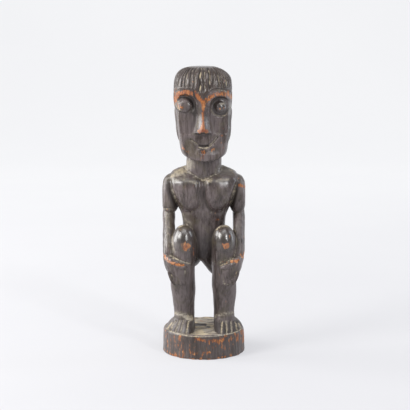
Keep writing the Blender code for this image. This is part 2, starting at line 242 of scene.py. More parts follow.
def lean(z: Array) -> Array:
    """How far the body's middle line stands to the side at a height above the base's top.

    Args:
        z: Heights.

    Returns:
        Sideways offsets.
    """
    heights = (0.0, 20.0, 40.0, 60.0, 74.0, 88.0, 110.0, 150.0, 186.0, 200.0, 215.0, 240.0)
    return np.interp(z, heights, (0.7, 0.4, 0.1, -0.4, -0.4, 0.1, 0.1, 0.0, 0.3, 0.1, -0.3, -1.0))


def in_figure(x: Array, y: Array, z: Array) -> Array:
    """Figure coordinates moved to where they stand over the base's underside.

    Args:
        x: Sideways places, before the lean.
        y: Depths.
        z: Heights above the base's top.

    Returns:
        Points with x, y and z in the last axis.
    """
    x, y, z = np.broadcast_arrays(x, y, z)
    return np.stack((x + lean(z), y, z + BASE_TOP), axis=-1)


def out_of_figure(points: Array) -> tuple[Array, Array, Array]:
    """The way back from in_figure: places over the base's underside as figure coordinates.

    Args:
        points: One row of x, y and z for each point.

    Returns:
        Sideways places without the lean, depths, and heights above the base's top.
    """
    z = points[:, 2] - BASE_TOP
    return points[:, 0] - lean(z), points[:, 1], z


# The figure's forms


class Side(Enum):
    """A side of the figure, as the viewer sees it."""

    LEFT = -1
    RIGHT = 1

    def pick(self, pair: tuple) -> object:
        """The left or the right value of a pair."""
        return pair[self is Side.RIGHT]


def of_side(x: Array, pair: tuple[float, float]) -> Array:
    """The left or the right value of a pair, by the side that each x is on.

    Args:
        x: Sideways places.
        pair: The left value and the right value.

    Returns:
        One value for each x.
    """
    return np.where(x < 0, pair[0], pair[1])


@dataclass(frozen=True)
class Upright:
    """An upright form through slices of (z, front y, back y, half-width, squareness)."""

    slices: tuple[tuple[float, float, float, float, float], ...]
    steps: int = 8
    sides: int = 160

    def columns(self) -> tuple[Array, Array, Array, Array]:
        """The form's points before any relief.

        Each level is a superellipse round the middle of its front and back.

        Returns:
            The angle from the front, and x, y and z, each as rings by sides.
        """
        z, front, back, half, square = (column[:, None] for column in catmull(self.slices, self.steps).T)
        angle = around(self.sides)
        radius = outline_radius(angle, half, (back - front) / 2, square)
        x, y = radius * np.sin(angle), (front + back) / 2 - radius * np.cos(angle)
        return angle + 0 * z, x, y, z + 0 * angle

    def grid(self, raised: Callable[[Array, Array, Array], Array] | None = None) -> Array:
        """The form's surface.

        Args:
            raised: Gives how far the surface stands forward of the plain form, from x, y and z.

        Returns:
            Points, rings by sides by 3.
        """
        _, x, y, z = self.columns()
        return in_figure(x, y - (raised(x, y, z) if raised else 0), z)


@dataclass(frozen=True)
class Limb:
    """A limb through stations of (x, y, z, half-width, half-depth), with each ring square to its path."""

    stations: tuple[tuple[float, float, float, float, float], ...]
    across: tuple[float, float, float] = (1.0, 0.0, 0.0)
    steps: int = 10
    sides: int = 72
    tilt: float = 0.0

    def grid(self, side: Side) -> Array:
        """The limb's surface on one side of the body.

        A ring's points are centre + width cos(a) flat + depth sin(a) up. Flat is the across direction made
        square to the path, up is square to both, and tilt lifts a ring's far side.

        Args:
            side: Which side of the body.

        Returns:
            Points, rings by sides by 3.
        """
        rows = catmull(self.stations, self.steps)
        centre, wide, deep = rows[:, :3], rows[:, 3, None, None], rows[:, 4, None, None]
        along = np.gradient(centre, axis=0)
        along /= np.linalg.norm(along, axis=1, keepdims=True)
        flat = np.array(self.across) - (along @ np.array(self.across))[:, None] * along
        flat /= np.linalg.norm(flat, axis=1, keepdims=True)
        up = np.cross(along, flat)
        angle = around(self.sides)[..., None]
        points = centre[:, None] + wide * np.cos(angle) * flat[:, None] + deep * np.sin(angle) * up[:, None]
        x, y, z = np.moveaxis(points, -1, 0)
        z = z + self.tilt * (x - centre[:, :1])
        return in_figure(side.value * x, y, z)


@dataclass(frozen=True)
class Ball:
    """An ellipsoid, turned about its own centre by angles in degrees about Y and X."""

    centre: tuple[float, float, float]
    radii: tuple[float, float, float]
    lean_in: float = 0.0
    pitch: float = 0.0
    rings: int = 48
    sides: int = 72

    def grid(self, side: Side = Side.RIGHT) -> Array:
        """The ellipsoid's surface, with its poles above and below.

        Args:
            side: Which side of the body. The left one is the right one mirrored.

        Returns:
            Points, rings by sides by 3.
        """
        rise = np.linspace(-math.pi / 2, math.pi / 2, self.rings)[:, None]
        angle = around(self.sides)
        level = np.cos(rise)
        unit = np.stack((level * np.sin(angle), -level * np.cos(angle), np.sin(rise) + 0 * angle), -1)
        tip, nod = math.radians(self.lean_in), math.radians(self.pitch)
        sine, cosine = math.sin(tip), math.cos(tip)
        about_y = np.array(((cosine, 0, sine), (0, 1, 0), (-sine, 0, cosine)))
        sine, cosine = math.sin(nod), math.cos(nod)
        about_x = np.array(((1, 0, 0), (0, cosine, -sine), (0, sine, cosine)))
        x, y, z = np.moveaxis(unit * self.radii @ (about_y @ about_x).T + self.centre, -1, 0)
        return in_figure(side.value * x, y, z)


@dataclass(frozen=True)
class Hair:
    """The hair: a raised cap whose locks are parted by grooves all round the head."""

    locks: int = 44
    raise_by: float = 1.0
    groove: float = 1.5
    share: float = 0.58
    crown: tuple[float, float] = (273.0, 274.2)
    half_width: float = 29.0
    half_depth: float = 27.0
    inset_heights: tuple[float, ...] = (250.0, 256.0, 262.0, 267.0, 271.0, 274.0)
    insets: tuple[float, ...] = (0.0, 0.6, 2.4, 5.2, 8.8, 14.0)
    degrees: tuple[float, ...] = (0, 7, 14, 20, 40, 60, 75, 88, 105, 120, 135, 180)
    heights: tuple[float, ...] = (243, 246, 251, 252.2, 252.4, 250.8, 247.6, 236, 229, 211, 199, 196)

    def angle(self, x: Array, y: Array, z: Array) -> Array:
        """Angle from the front where the head is widest, so that partings stay upright on the crown.

        A point moves out by the crown's inset at its height, along the cubed direction of a rounded square.

        Args:
            x: Sideways places.
            y: Places from front to back.
            z: Heights above the base's top.

        Returns:
            The angles.
        """
        inset = np.interp(z, self.inset_heights, self.insets)
        aside, along = (x / self.half_width) ** 3, (y / self.half_depth) ** 3
        size = np.maximum(np.hypot(aside, along), 1e-6)
        return np.arctan2(x + inset * aside / size, -(y + inset * along / size))

    def above(self, angle: Array, z: Array) -> Array:
        """Height over the hairline, with negative numbers on bare skin.

        Args:
            angle: Angle from the front.
            z: Height above the base's top.

        Returns:
            Heights over the hairline.
        """
        return z - np.interp(abs(np.degrees(angle)), self.degrees, self.heights)

    def parting(self, angle: Array, z: Array) -> Array:
        """The grooves between the locks, wavy at the front and straighter round the sides.

        The phase is angle * locks / 2 pi plus slow waves. A groove is a V of this share about each half
        phase, and its strength changes from lock to lock.

        Args:
            angle: Angle from the front.
            z: Height above the base's top.

        Returns:
            1 at the bottom of a groove and 0 outside it.
        """
        middle = np.exp(-((angle / 0.42) ** 2))
        turn = angle * self.locks / (2 * math.pi) + 0.12
        wave = 0.04 * np.sin(z * 0.16 + 2.3 * np.sin(turn * 1.7))
        wave = wave + 0.11 * middle * np.sin(z * 0.46 + 1.3 * turn)
        uneven = 0.10 * np.sin(3.1 * turn)
        phase = turn + wave + uneven
        strength = 0.80 + 0.20 * np.sin(1.37 * np.floor(phase) ** 2)
        return np.clip(1.25 - 2.5 * abs(phase % 1.0 - 0.5) / self.share, 0, 1) * strength

    def cap(self, angle: Array, z: Array) -> Array:
        """How far the cap of hair stands out from the head."""
        return self.raise_by * ramp(self.above(angle, z), -0.5, 0.7)

    def cut(self, angle: Array, z: Array) -> Array:
        """How far the grooves reach: they start above the hairline and run out at the crown.

        Args:
            angle: Angle from the front.
            z: Height above the base's top.

        Returns:
            Numbers from 0 to 1.
        """
        whole = np.maximum(ramp(z, 247.0, 253.0), ramp(abs(angle), 0.7, 1.0))
        begun = ramp(self.above(angle, z), 0.8, 3.5) * whole
        return self.parting(angle, z) * begun * (1 - ramp(z, *self.crown))


@dataclass(frozen=True)
class Face:
    """The carved face: brow, hollow eyes, a long narrow nose, muzzle, mouth and chin."""

    eyes_x: tuple[float, float] = (18.0, 17.6)
    eyes_z: tuple[float, float] = (235.8, 234.4)
    sockets: tuple[float, float] = (11.0, 10.6)
    socket_depth: float = 4.8
    nose_z: tuple[float, ...] = (206.0, 207.9, 209.4, 214.0, 221.0, 228.0, 236.0, 243.0)
    nose_ridge: tuple[float, ...] = (22.0, 34.0, 35.2, 34.8, 33.8, 32.8, 32.0, 32.6)
    nose_foot: tuple[float, ...] = (9.8, 10.2, 9.8, 8.8, 7.4, 6.8, 7.4, 7.8)
    nose_top: tuple[float, ...] = (4.2, 4.0, 2.6, 1.2, 0.8, 1.0, 2.2, 2.8)
    cheek_forward: float = 27.0
    cheek_height: float = 232.0
    muzzle_forward: float = 23.6
    muzzle_rise: float = 4.4
    muzzle_height: float = 199.0
    muzzle_half: tuple[float, float] = (18.5, 15.5)
    chin_forward: float = 29.4
    chin_height: float = 186.0
    lines: tuple[tuple[float, float, Path], ...] = (
        (-1.8, 1.3, (
            (-13.4, 201.0), (-8.2, 197.2), (-4.0, 194.2), (0.6, 193.2), (6.0, 195.0), (11.2, 200.0),
            (13.8, 203.2),
        )),
        (-1.5, 1.1, ((-2.4, 187.6), (2.0, 187.6))),
        (0.8, 1.1, ((-4.6, 190.6), (0.6, 189.9), (5.0, 191.4), (9.5, 194.0))),
    )

    def eyes(self, x: Array, z: Array) -> Array:
        """The sockets and eyeballs, measured from the cheek's plane.

        Each socket is a bowl, -depth (1 - r^2)^0.5, and the left one's foot is softer and runs out towards
        the cheek's outer side. The left eyeball is one wide dome, an almond of powers 1.6 along and 1.8 up.
        The right one is a small dome with a round rim about it.

        Args:
            x: Sideways places.
            z: Heights.

        Returns:
            How far the surface stands forward of the cheek.
        """
        aside = abs(x) - of_side(x, self.eyes_x)
        up = z - of_side(x, self.eyes_z)
        ring = np.hypot(aside, up)
        softer = np.where(x < 0, 0.5 + 1.1 * ramp(up, 1.0, -5.0), 0.5)
        bowl = -self.socket_depth * np.clip(1 - (ring / of_side(x, self.sockets)) ** 2, 0, 1) ** softer
        open_side = np.where(x < 0, ramp(up - 0.7 * aside, -7.0, 0.0), 1.0)
        bowl = bowl * open_side
        half_long, half_tall = np.where(aside > 0, 13.4, 9.4), np.where(up > 0, 7.8, 7.2)
        almond = (abs(aside / half_long) ** 1.6 + abs((up + 0.2) / half_tall) ** 1.8) ** 0.6
        left = (3.4 + 3.8 * open_side) * np.clip(1 - almond**2, 0, 1) ** 0.42
        left = left - self.socket_depth * open_side
        pupil = 7.2 * np.clip(1 - (ring / 6.8) ** 2, 0, 1) ** 0.5 - self.socket_depth
        rim = 3.6 * np.exp(-(((ring - 8.0) / 1.1) ** 2)) * ramp(up, 7.0, -2.0) - self.socket_depth
        ball = np.where(x < 0, left, np.maximum(pupil, rim))
        shown = np.where(x < 0, almond < 0.99, ball > -self.socket_depth + 0.05)
        return np.where(shown, np.maximum(bowl, ball), bowl)

    def brow(self, x: Array, z: Array) -> Array:
        """Where the brow is, above the two arcs over the eyes.

        Args:
            x: Sideways places.
            z: Heights.

        Returns:
            1 on the brow and 0 under the arcs.
        """
        up = z - of_side(x, self.eyes_z)
        aside = abs(x) - of_side(x, self.eyes_x)
        beside = np.where(aside < 0, -aside, 0)
        past = np.where(up > 0, np.hypot(aside, up), beside) - of_side(x, self.sockets)
        return ramp(past, -0.5, 0.9) * np.clip(1 + up / 9.0, 0, 1)

    def front(self, x: Array, z: Array, blank: Array) -> Array:
        """How far forward the face stands.

        It is the soft maximum of the cheeks, the nose, the muzzle and the chin, with the carved lines, and
        it blends to the uncut blank on the brow.

        Args:
            x: Sideways places.
            z: Heights.
            blank: How far forward the uncut head stands there.

        Returns:
            Distances forward of the figure's middle plane.
        """
        across = abs(x)
        cheeks = self.cheek_forward - 0.0036 * x**2 - 0.045 * np.clip(self.cheek_height - z, 0, 60)
        cheeks = cheeks - 0.9 * np.exp(-(((across - 9.5) / 4.0) ** 2)) * ramp(z, 205, 216)
        profiles = (self.nose_ridge, self.nose_foot, self.nose_top)
        ridge, foot, top = (np.interp(z, self.nose_z, profile) for profile in profiles)
        nose = ridge - (ridge - cheeks) * np.clip((across - top) / (foot - top), 0, 1.3)
        from_muzzle = np.hypot(x / self.muzzle_half[0], (z - self.muzzle_height) / self.muzzle_half[1])
        muzzle = self.muzzle_forward + self.muzzle_rise * np.clip(1 - from_muzzle**1.9, 0, 1)
        chin = self.chin_forward - 0.016 * x**2 - 0.32 * np.clip(z - self.chin_height, 0, 40)
        plane = smooth_most((cheeks + self.eyes(x, z), muzzle, chin, nose), 0.6)
        for rise, width, path in self.lines:
            plane = plane + rise * stroke(x, z, path, width)
        return plane + (blank - plane) * self.brow(x, z)


HEAD_SLICES = (
    (178.6, -27.5, -12.0, 7.0, 2.0),
    (180.4, -30.8, -6.0, 14.5, 2.1),
    (184.4, -32.0, 4.0, 20.9, 2.4),
    (188.4, -32.4, 14.0, 23.7, 2.6),
    (194.4, -32.8, 19.0, 24.9, 2.8),
    (200.0, -33.4, 23.0, 25.7, 2.9),
    (212.4, -36.6, 25.5, 26.8, 3.0),
    (228.4, -35.2, 27.5, 28.2, 3.0),
    (240.0, -33.6, 28.5, 29.2, 3.0),
    (250.0, -32.4, 28.3, 29.1, 2.9),
    (258.0, -31.4, 27.6, 28.8, 2.8),
    (264.0, -29.2, 26.0, 27.6, 2.6),
    (269.0, -25.2, 22.8, 24.6, 2.4),
    (272.2, -18.6, 17.2, 18.4, 2.3),
    (273.8, -10.0, 9.6, 10.0, 2.1),
    (274.3, -2.0, 2.0, 2.0, 2.0),
)
NECK_SLICES = (
    (150.0, -10.0, 18.0, 17.0, 2.2),
    (163.0, -12.9, 19.5, 18.8, 2.3),
    (170.0, -13.4, 19.8, 18.4, 2.3),
    (180.0, -13.7, 20.2, 18.2, 2.3),
    (190.0, -14.0, 20.5, 18.0, 2.3),
    (198.0, -14.0, 18.0, 16.0, 2.3),
)
TORSO_SLICES = (
    (70.0, 0.0, 17.0, 5.0, 2.0),
    (74.0, -3.5, 24.0, 12.0, 2.2),
    (84.0, -6.0, 27.5, 19.5, 2.4),
    (98.0, -8.0, 25.5, 22.2, 2.5),
    (112.0, -8.8, 23.4, 22.4, 2.6),
    (120.0, -10.5, 23.0, 23.6, 2.8),
    (130.0, -13.0, 23.6, 27.6, 3.0),
    (142.0, -15.6, 24.4, 31.8, 3.1),
    (148.0, -16.9, 24.7, 34.2, 3.1),
    (152.0, -16.6, 24.7, 35.6, 3.0),
    (156.0, -15.0, 24.3, 36.2, 3.0),
    (160.0, -12.2, 23.3, 35.6, 2.9),
    (163.0, -8.0, 22.2, 34.4, 2.7),
    (165.5, -3.2, 21.2, 32.0, 2.6),
    (168.0, 1.4, 19.6, 26.6, 2.4),
    (170.4, 4.0, 17.0, 20.0, 2.2),
    (171.6, 6.0, 15.0, 11.0, 2.1),
)
UPPER_ARM = (
    (34.2, 5.0, 158.0, 6.0, 7.5),
    (34.5, 5.2, 152.0, 8.6, 10.6),
    (35.0, 5.6, 142.0, 9.0, 10.6),
    (35.3, 6.4, 132.0, 8.7, 10.6),
    (35.7, 7.2, 127.6, 8.1, 10.4),
    (36.3, 8.2, 124.8, 6.8, 9.4),
    (36.9, 9.0, 120.0, 5.0, 6.5),
)
FOREARM = (
    (36.7, 12.0, 129.0, 5.0, 7.0),
    (36.7, 9.0, 121.5, 6.4, 8.8),
    (36.7, 1.0, 111.0, 6.4, 8.8),
    (36.5, -8.0, 100.0, 6.5, 8.6),
    (36.2, -15.0, 90.0, 6.5, 8.2),
    (35.4, -19.5, 81.0, 6.8, 7.8),
    (34.0, -22.0, 74.0, 5.0, 6.0),
)
SHIN = (
    (21.2, -13.0, -3.0, 11.6, 13.0),
    (21.0, -12.8, 6.0, 11.0, 12.4),
    (20.9, -12.5, 14.0, 10.7, 11.4),
    (20.9, -12.6, 22.0, 10.7, 11.4),
    (21.2, -13.6, 32.0, 11.6, 12.5),
    (21.5, -15.2, 45.0, 12.8, 14.2),
    (21.3, -17.4, 60.0, 12.4, 14.6),
    (20.8, -19.6, 75.0, 12.3, 14.6),
    (20.6, -20.6, 88.0, 12.2, 14.6),
    (20.6, -20.4, 98.0, 11.4, 13.4),
    (20.6, -19.5, 104.0, 8.0, 9.0),
)
THIGH = (
    (20.4, -26.0, 99.0, 8.0, 9.0),
    (20.4, -20.0, 97.0, 11.4, 14.0),
    (19.6, -8.0, 89.0, 12.0, 14.4),
    (17.6, 4.0, 82.0, 12.8, 15.0),
    (15.8, 13.0, 78.5, 12.6, 14.6),
    (14.4, 20.0, 77.5, 11.0, 13.0),
    (14.0, 26.5, 77.0, 7.0, 8.5),
)
GROIN_FOLD = (
    (-1.0, 6.0, 76.0, 2.5, 5.0),
    (1.6, 6.0, 73.0, 5.2, 9.0),
    (7.2, 7.0, 66.6, 6.0, 10.0),
    (13.0, 8.0, 59.6, 6.0, 10.0),
    (15.8, 9.0, 56.2, 4.0, 7.0),
)
EAR = (
    (27.4, 4.0, 233.0, 0.8, 2.0),
    (27.7, 4.0, 230.0, 2.1, 4.8),
    (27.4, 4.0, 224.0, 2.4, 6.2),
    (26.8, 4.0, 217.0, 2.2, 5.0),
    (26.4, 4.0, 210.0, 2.4, 6.0),
    (25.8, 4.0, 204.0, 2.3, 5.0),
    (24.3, 4.0, 198.0, 1.9, 3.6),
    (23.3, 4.0, 194.5, 0.7, 1.6),
)
HAND_CUFF = (
    (27.4, -18.6, 75.4, 12.6, 14.0),
    (27.3, -18.8, 73.4, 15.1, 17.0),
    (26.4, -19.0, 67.0, 14.4, 17.2),
    (24.8, -18.6, 61.0, 13.2, 16.2),
    (22.8, -17.6, 52.2, 11.8, 14.8),
    (21.7, -16.4, 43.0, 11.2, 13.2),
    (21.5, -15.4, 35.0, 9.4, 11.0),
)
THUMB = (
    (37.6, -7.0, 80.0, 1.6, 1.6),
    (39.8, -15.5, 79.2, 2.5, 2.3),
    (38.4, -25.5, 77.0, 2.8, 2.4),
    (33.0, -32.6, 74.2, 2.9, 2.5),
    (27.0, -35.6, 72.2, 2.8, 2.4),
    (21.0, -35.8, 70.6, 2.4, 2.2),
    (16.6, -34.6, 69.8, 1.2, 1.2),
)


class Head:
    """The head: a blank through its slices, with the face cut in and the hair raised on it."""

    CROWN_SHIFT = 2.6

    def __init__(self, face: Face, hair: Hair) -> None:
        """Keeps the face and hair, and makes the blank they are cut in."""
        self.face = face
        self.hair = hair
        self.blank = Upright(HEAD_SLICES, steps=15, sides=384)

    def grids(self) -> list[Array]:
        """The head and its two ears.

        The face is cut by moving each front point back to the face's own surface, wherever the blank stands
        in front. The crown's right side is then drawn in a little.

        Returns:
            Closed surfaces, each rings by sides by 3.
        """
        angle, x, y, z = self.blank.columns()
        cut = np.clip(-y - self.face.front(x, z, -y), 0, None) * (y < 0)
        lift = self.hair.cap(angle, z)
        upward = ramp(z, 264, 273.6)
        x = x + lift * np.sin(angle) * (1 - upward)
        y = y + cut - lift * np.cos(angle) * (1 - upward)
        z = z + lift * upward
        x = x - self.CROWN_SHIFT * ramp(z, 262, 273) * ramp(x, -5.0, 18.0)
        return [in_figure(x, y, z), *(Limb(EAR).grid(side) for side in Side)]


class Body:
    """Neck and torso, with two chest plates in relief."""

    PLATES: tuple[Path, Path] = (
        (
            (-3.8, 163.0), (-3.2, 142.0), (-3.8, 131.4), (-6.2, 127.5), (-10.8, 124.2), (-18.6, 123.4),
            (-23.3, 126.7),
            (-27.2, 132.8), (-34.0, 146.0), (-42.0, 168.0), (-20.0, 168.0),
        ),
        (
            (0.8, 163.0), (0.4, 142.0), (1.6, 136.0), (4.1, 130.6), (7.2, 126.4), (11.9, 123.4),
            (16.6, 123.0),
            (20.5, 126.4), (25.0, 132.0), (33.0, 146.0), (42.0, 168.0), (20.0, 168.0),
        ),
    )

    def plates(self, x: Array, y: Array, z: Array) -> Array:
        """How far the chest plates stand forward: 2.2 mm with a soft edge, a swell and a ledge on top.

        Args:
            x: Sideways places.
            y: Depths.
            z: Heights.

        Returns:
            Distances forward, 0 on the back.
        """
        raised = sum(panel(x, z, path, 5.0) ** 0.8 for path in self.PLATES)
        swell = np.exp(-(((abs(x + 1.5) - 15.0) / 10.0) ** 2) - ((z - 140.0) / 10.0) ** 2)
        ledge = np.exp(-(((abs(x + 1.5) - 17.5) / 12.5) ** 4) - ((z - 156.6) / 3.4) ** 2)
        return (2.2 * raised + 0.9 * swell + 0.5 * ledge) * (y < 4)

    def grids(self) -> list[Array]:
        """The neck and the torso.

        Returns:
            Closed surfaces, each rings by sides by 3.
        """
        return [Upright(NECK_SLICES).grid(), Upright(TORSO_SLICES, steps=12, sides=240).grid(self.plates)]


class Arms:
    """Shoulders, upper arms, forearms and the hands laid on the shins."""

    FIRST_FINGER = 19.2
    FINGER_STEP = 3.7
    HAND_X = 24.4
    HAND_HALF = 13.4

    def grids(self) -> list[Array]:
        """Both arms and hands.

        Returns:
            Closed surfaces, each rings by sides by 3.
        """
        forms = (
            Ball((32.8, 5.2, 151.6), (10.4, 12.0, 11.2)),
            Limb(UPPER_ARM),
            Limb(FOREARM),
            Limb(HAND_CUFF, sides=120, tilt=0.42),
            Limb(THUMB, across=(0.0, 0.0, 1.0), sides=40),
            *self.fingers(),
        )
        return [form.grid(side) for side in Side for form in forms]

    def fingers(self) -> list[Ball]:
        """Four fingers that lie on the front of the hand, each a slim ellipsoid just proud of it.

        Returns:
            The fingers of the right hand.
        """
        made = []
        for x in self.FIRST_FINGER + self.FINGER_STEP * np.arange(4):
            bulge = math.sqrt(1 - ((x - self.HAND_X) / self.HAND_HALF) ** 2)
            centre = (x + 3.0, -17.6 - 14.9 * bulge, 58.2)
            made.append(Ball(centre, (2.15, 1.9, 8.4), lean_in=24.0, pitch=-8.0, rings=30, sides=30))
        return made


@dataclass(frozen=True)
class Foot:
    """A foot: a low dome from the ankle to the rim of the base. Its toes are parted in relief."""

    ankle: tuple[float, float] = (20.9, -12.6)
    ankle_radius: float = 9.8
    sole: tuple[float, float] = (26.2, -14.0)
    sole_half: float = 15.7
    sole_deep: float = 25.0
    rise: float = 16.0
    rim: float = 40.6

    def grid(self, side: Side) -> Array:
        """The foot's surface, as rings from under the base's top up to the ankle.

        A ring's reach runs from the ankle's radius to the sole's outline as (1 - (z / rise)^1.9)^1.6.
        The sole's outline is a superellipse that the rim of the base cuts short.

        Args:
            side: Which side of the body.

        Returns:
            Points, rings by sides by 3.
        """
        z = self.rise * np.linspace(-0.2, 1, 60)[:, None]
        angle = around(300)
        own = outline_radius(angle, self.sole_half, self.sole_deep, 2.8)
        ahead = self.sole[0] * np.sin(angle) - self.sole[1] * np.cos(angle)
        to_rim = np.sqrt(ahead**2 + self.rim**2 - self.sole[0] ** 2 - self.sole[1] ** 2) - ahead
        sole = -smooth_most((-own, -to_rim), 0.6)
        spread = (1 - (np.clip(z, 0, None) / self.rise) ** 1.9) ** 1.6
        reach = self.ankle_radius + (sole - self.ankle_radius) * spread
        x = self.ankle[0] + (self.sole[0] - self.ankle[0]) * spread + reach * np.sin(angle)
        y = self.ankle[1] + (self.sole[1] - self.ankle[1]) * spread - reach * np.cos(angle)
        return in_figure(side.value * x, y, z)


class Legs:
    """Shins, knees, thighs, seat and feet."""

    SEAT_Z: tuple[float, float] = (75.5, 73.5)
    SEAT_TALL: tuple[float, float] = (14.6, 18.0)

    def grids(self) -> list[Array]:
        """Both legs with the seat.

        Returns:
            Closed surfaces, each rings by sides by 3.
        """
        made = []
        for side in Side:
            seat = Ball((13.4, 14.6, side.pick(self.SEAT_Z)), (12.4, 17.4, side.pick(self.SEAT_TALL)))
            knee = Ball((20.6, -22.0, 94.5), (12.5, 15.0, 18.0), rings=80, sides=120)
            made += [form.grid(side) for form in (Limb(SHIN), Limb(THIGH), seat, knee, Foot())]
        made.append(Limb(GROIN_FOLD).grid(Side.RIGHT))
        return made


@dataclass(frozen=True)
class Base:
    """The round base, turned by hand: barrel-sided, with softened edges and a flat underside."""

    radius: float = 43.4
    taper: float = 0.8
    top_round: float = 2.2
    foot_round: float = 1.0
    sides: int = 480

    def grids(self) -> list[Array]:
        """The base's surface, as a profile turned about the middle with the carver's slight wobble.

        The side's radius is radius - taper (z / thickness)^2, and quarter circles round its two edges.

        Returns:
            One closed surface, rings by sides by 3.
        """
        turn = np.linspace(0, math.pi / 2, 9)
        up = np.linspace(self.foot_round, BASE_TOP - self.top_round, 30)
        inset = self.foot_round * (1 - np.sin(turn))
        foot = np.stack((self.radius - inset, self.foot_round * (1 - np.cos(turn))))
        wall = np.stack((self.radius - self.taper * (up / BASE_TOP) ** 2, up))
        edge = self.radius - self.taper - self.top_round * (1 - np.cos(turn))
        top = np.stack((edge, BASE_TOP - self.top_round * (1 - np.sin(turn))))
        inward = np.stack((np.linspace(edge[-1], 0.5, 20)[1:], np.full(19, BASE_TOP)))
        radius, z = np.concatenate((foot, wall[:, 1:-1], top, inward), axis=1)[..., None]
        angle = around(self.sides)
        wobble = 0.22 * np.sin(3 * angle + 0.6) + 0.14 * np.sin(7 * angle + 2.0)
        radius = radius + (wobble - 0.3) * ramp(radius, 30, 42) * ramp(z, 1.0, 8.0)
        return [np.stack((radius * np.sin(angle), -radius * np.cos(angle), z + 0 * angle), axis=-1)]


# One skin out of all the forms


@dataclass
class Skin:
    """A closed surface as plain arrays: points in millimetres, and faces with equal numbers of corners."""

    points: Array
    faces: Array
    pairs: Array = field(init=False)

    def __post_init__(self) -> None:
        """Lists each pair of points that share an edge once."""
        ends = np.stack((self.faces, np.roll(self.faces, -1, axis=1)), axis=-1).reshape(-1, 2)
        self.pairs = np.unique(np.sort(ends, axis=1), axis=0)

    def total(self, index: Array, values: Array) -> Array:
        """Sums of three-column values over the points they belong to.

        Args:
            index: The point that each row belongs to.
            values: The rows.

        Returns:
            One row for each point.
        """
        count = len(self.points)
        sums = [np.bincount(index, weights=column, minlength=count) for column in values.T]
        return np.stack(sums, axis=1)

    def around_points(self, values: Array) -> Array:
        """Each point's mean over its neighbours.

        Args:
            values: Three columns for each point.

        Returns:
            The means.
        """
        a, b = self.pairs.T
        degree = np.bincount(self.pairs.ravel(), minlength=len(self.points))[:, None]
        return (self.total(a, values[b]) + self.total(b, values[a])) / degree

    def normals(self) -> Array:
        """Unit normals: for each face the cross product of its diagonals, summed over a point's faces.

        Returns:
            One normal for each point.
        """
        corner = self.points[self.faces]
        across = np.cross(corner[:, 2] - corner[:, 0], corner[:, -1] - corner[:, 1])
        summed = sum(self.total(self.faces[:, i], across) for i in range(self.faces.shape[1]))
        return summed / np.maximum(np.linalg.norm(summed, axis=1, keepdims=True), 1e-12)

    def relax(self, passes: int, weight: Array | float = 0.6) -> None:
        """Moves each point towards its neighbours' mean.

        Args:
            passes: How many times.
            weight: Share of the way, one for all points or one for each.
        """
        share = np.reshape(weight, (-1, 1)) if np.ndim(weight) else weight
        for _ in range(passes):
            self.points = self.points + share * (self.around_points(self.points) - self.points)

    def push(self, amount: Array) -> None:
        """Moves each point outward along its normal by this many millimetres."""
        self.points = self.points + self.normals() * amount[:, None]

    def hollowness(self, passes: int) -> Array:
        """How deep each point lies under its surroundings, in millimetres: negative on a ridge.

        It is the normal part of the way a point moves when the surface is smoothed this many times.

        Args:
            passes: How many times.

        Returns:
            One depth for each point.
        """
        smoothed = self.points
        for _ in range(passes):
            smoothed = smoothed + 0.7 * (self.around_points(smoothed) - smoothed)
        return np.einsum("ij,ij->i", smoothed - self.points, self.normals())


def capped(grid: Array, start: int) -> tuple[Array, list[Array]]:
    """Points and quads of one grid, closed at both ends by a fan to each end ring's middle.

    Args:
        grid: Points, rings by sides by 3.
        start: Number of the first point.

    Returns:
        The points, and the faces as arrays of quads and of triangles.
    """
    rings, sides = grid.shape[:2]
    points = np.concatenate((grid.reshape(-1, 3), grid[:1].mean(axis=1), grid[-1:].mean(axis=1)))
    index = np.arange(rings * sides).reshape(rings, sides) + start
    on = np.roll(index, -1, axis=1)
    quads = np.stack((index[:-1], on[:-1], on[1:], index[1:]), axis=-1).reshape(-1, 4)
    low, high = np.full(sides, start + rings * sides), np.full(sides, start + rings * sides + 1)
    fans = np.concatenate((np.stack((on[0], index[0], low), -1), np.stack((index[-1], on[-1], high), -1)))
    return points, [quads, fans]


def written_mesh(name: str, points: Array, faces: Sequence[Array]) -> bpy.types.Mesh:
    """A mesh from arrays of points in millimetres and of faces.

    Args:
        name: The mesh's name.
        points: One row for each point.
        faces: Arrays of faces, each with its own number of corners.

    Returns:
        The mesh, in metres.
    """
    mesh = bpy.data.meshes.new(name)
    corners = np.concatenate([group.ravel() for group in faces]).astype(np.int32)
    sizes = np.concatenate([np.full(len(group), group.shape[1], np.int32) for group in faces])
    mesh.vertices.add(len(points))
    mesh.loops.add(len(corners))
    mesh.polygons.add(len(sizes))
    mesh.vertices.foreach_set("co", (points * METRES).astype(np.float32).ravel())
    mesh.loops.foreach_set("vertex_index", corners)
    mesh.polygons.foreach_set("loop_start", np.concatenate(((0,), np.cumsum(sizes[:-1]))).astype(np.int32))
    mesh.polygons.foreach_set("use_smooth", np.ones(len(sizes), bool))
    mesh.update(calc_edges=True)
    return mesh


def read_skin(mesh: bpy.types.Mesh, corners: int) -> Skin:
    """A mesh's arrays.

    Args:
        mesh: A mesh whose faces all have the same number of corners.
        corners: That number.

    Returns:
        The skin, in millimetres.
    """
    points = np.empty(len(mesh.vertices) * 3, np.float32)
    mesh.vertices.foreach_get("co", points)
    faces = np.empty(len(mesh.loops), np.int32)
    mesh.loops.foreach_get("vertex_index", faces)
    return Skin(points.reshape(-1, 3).astype(float) / METRES, faces.reshape(-1, corners))


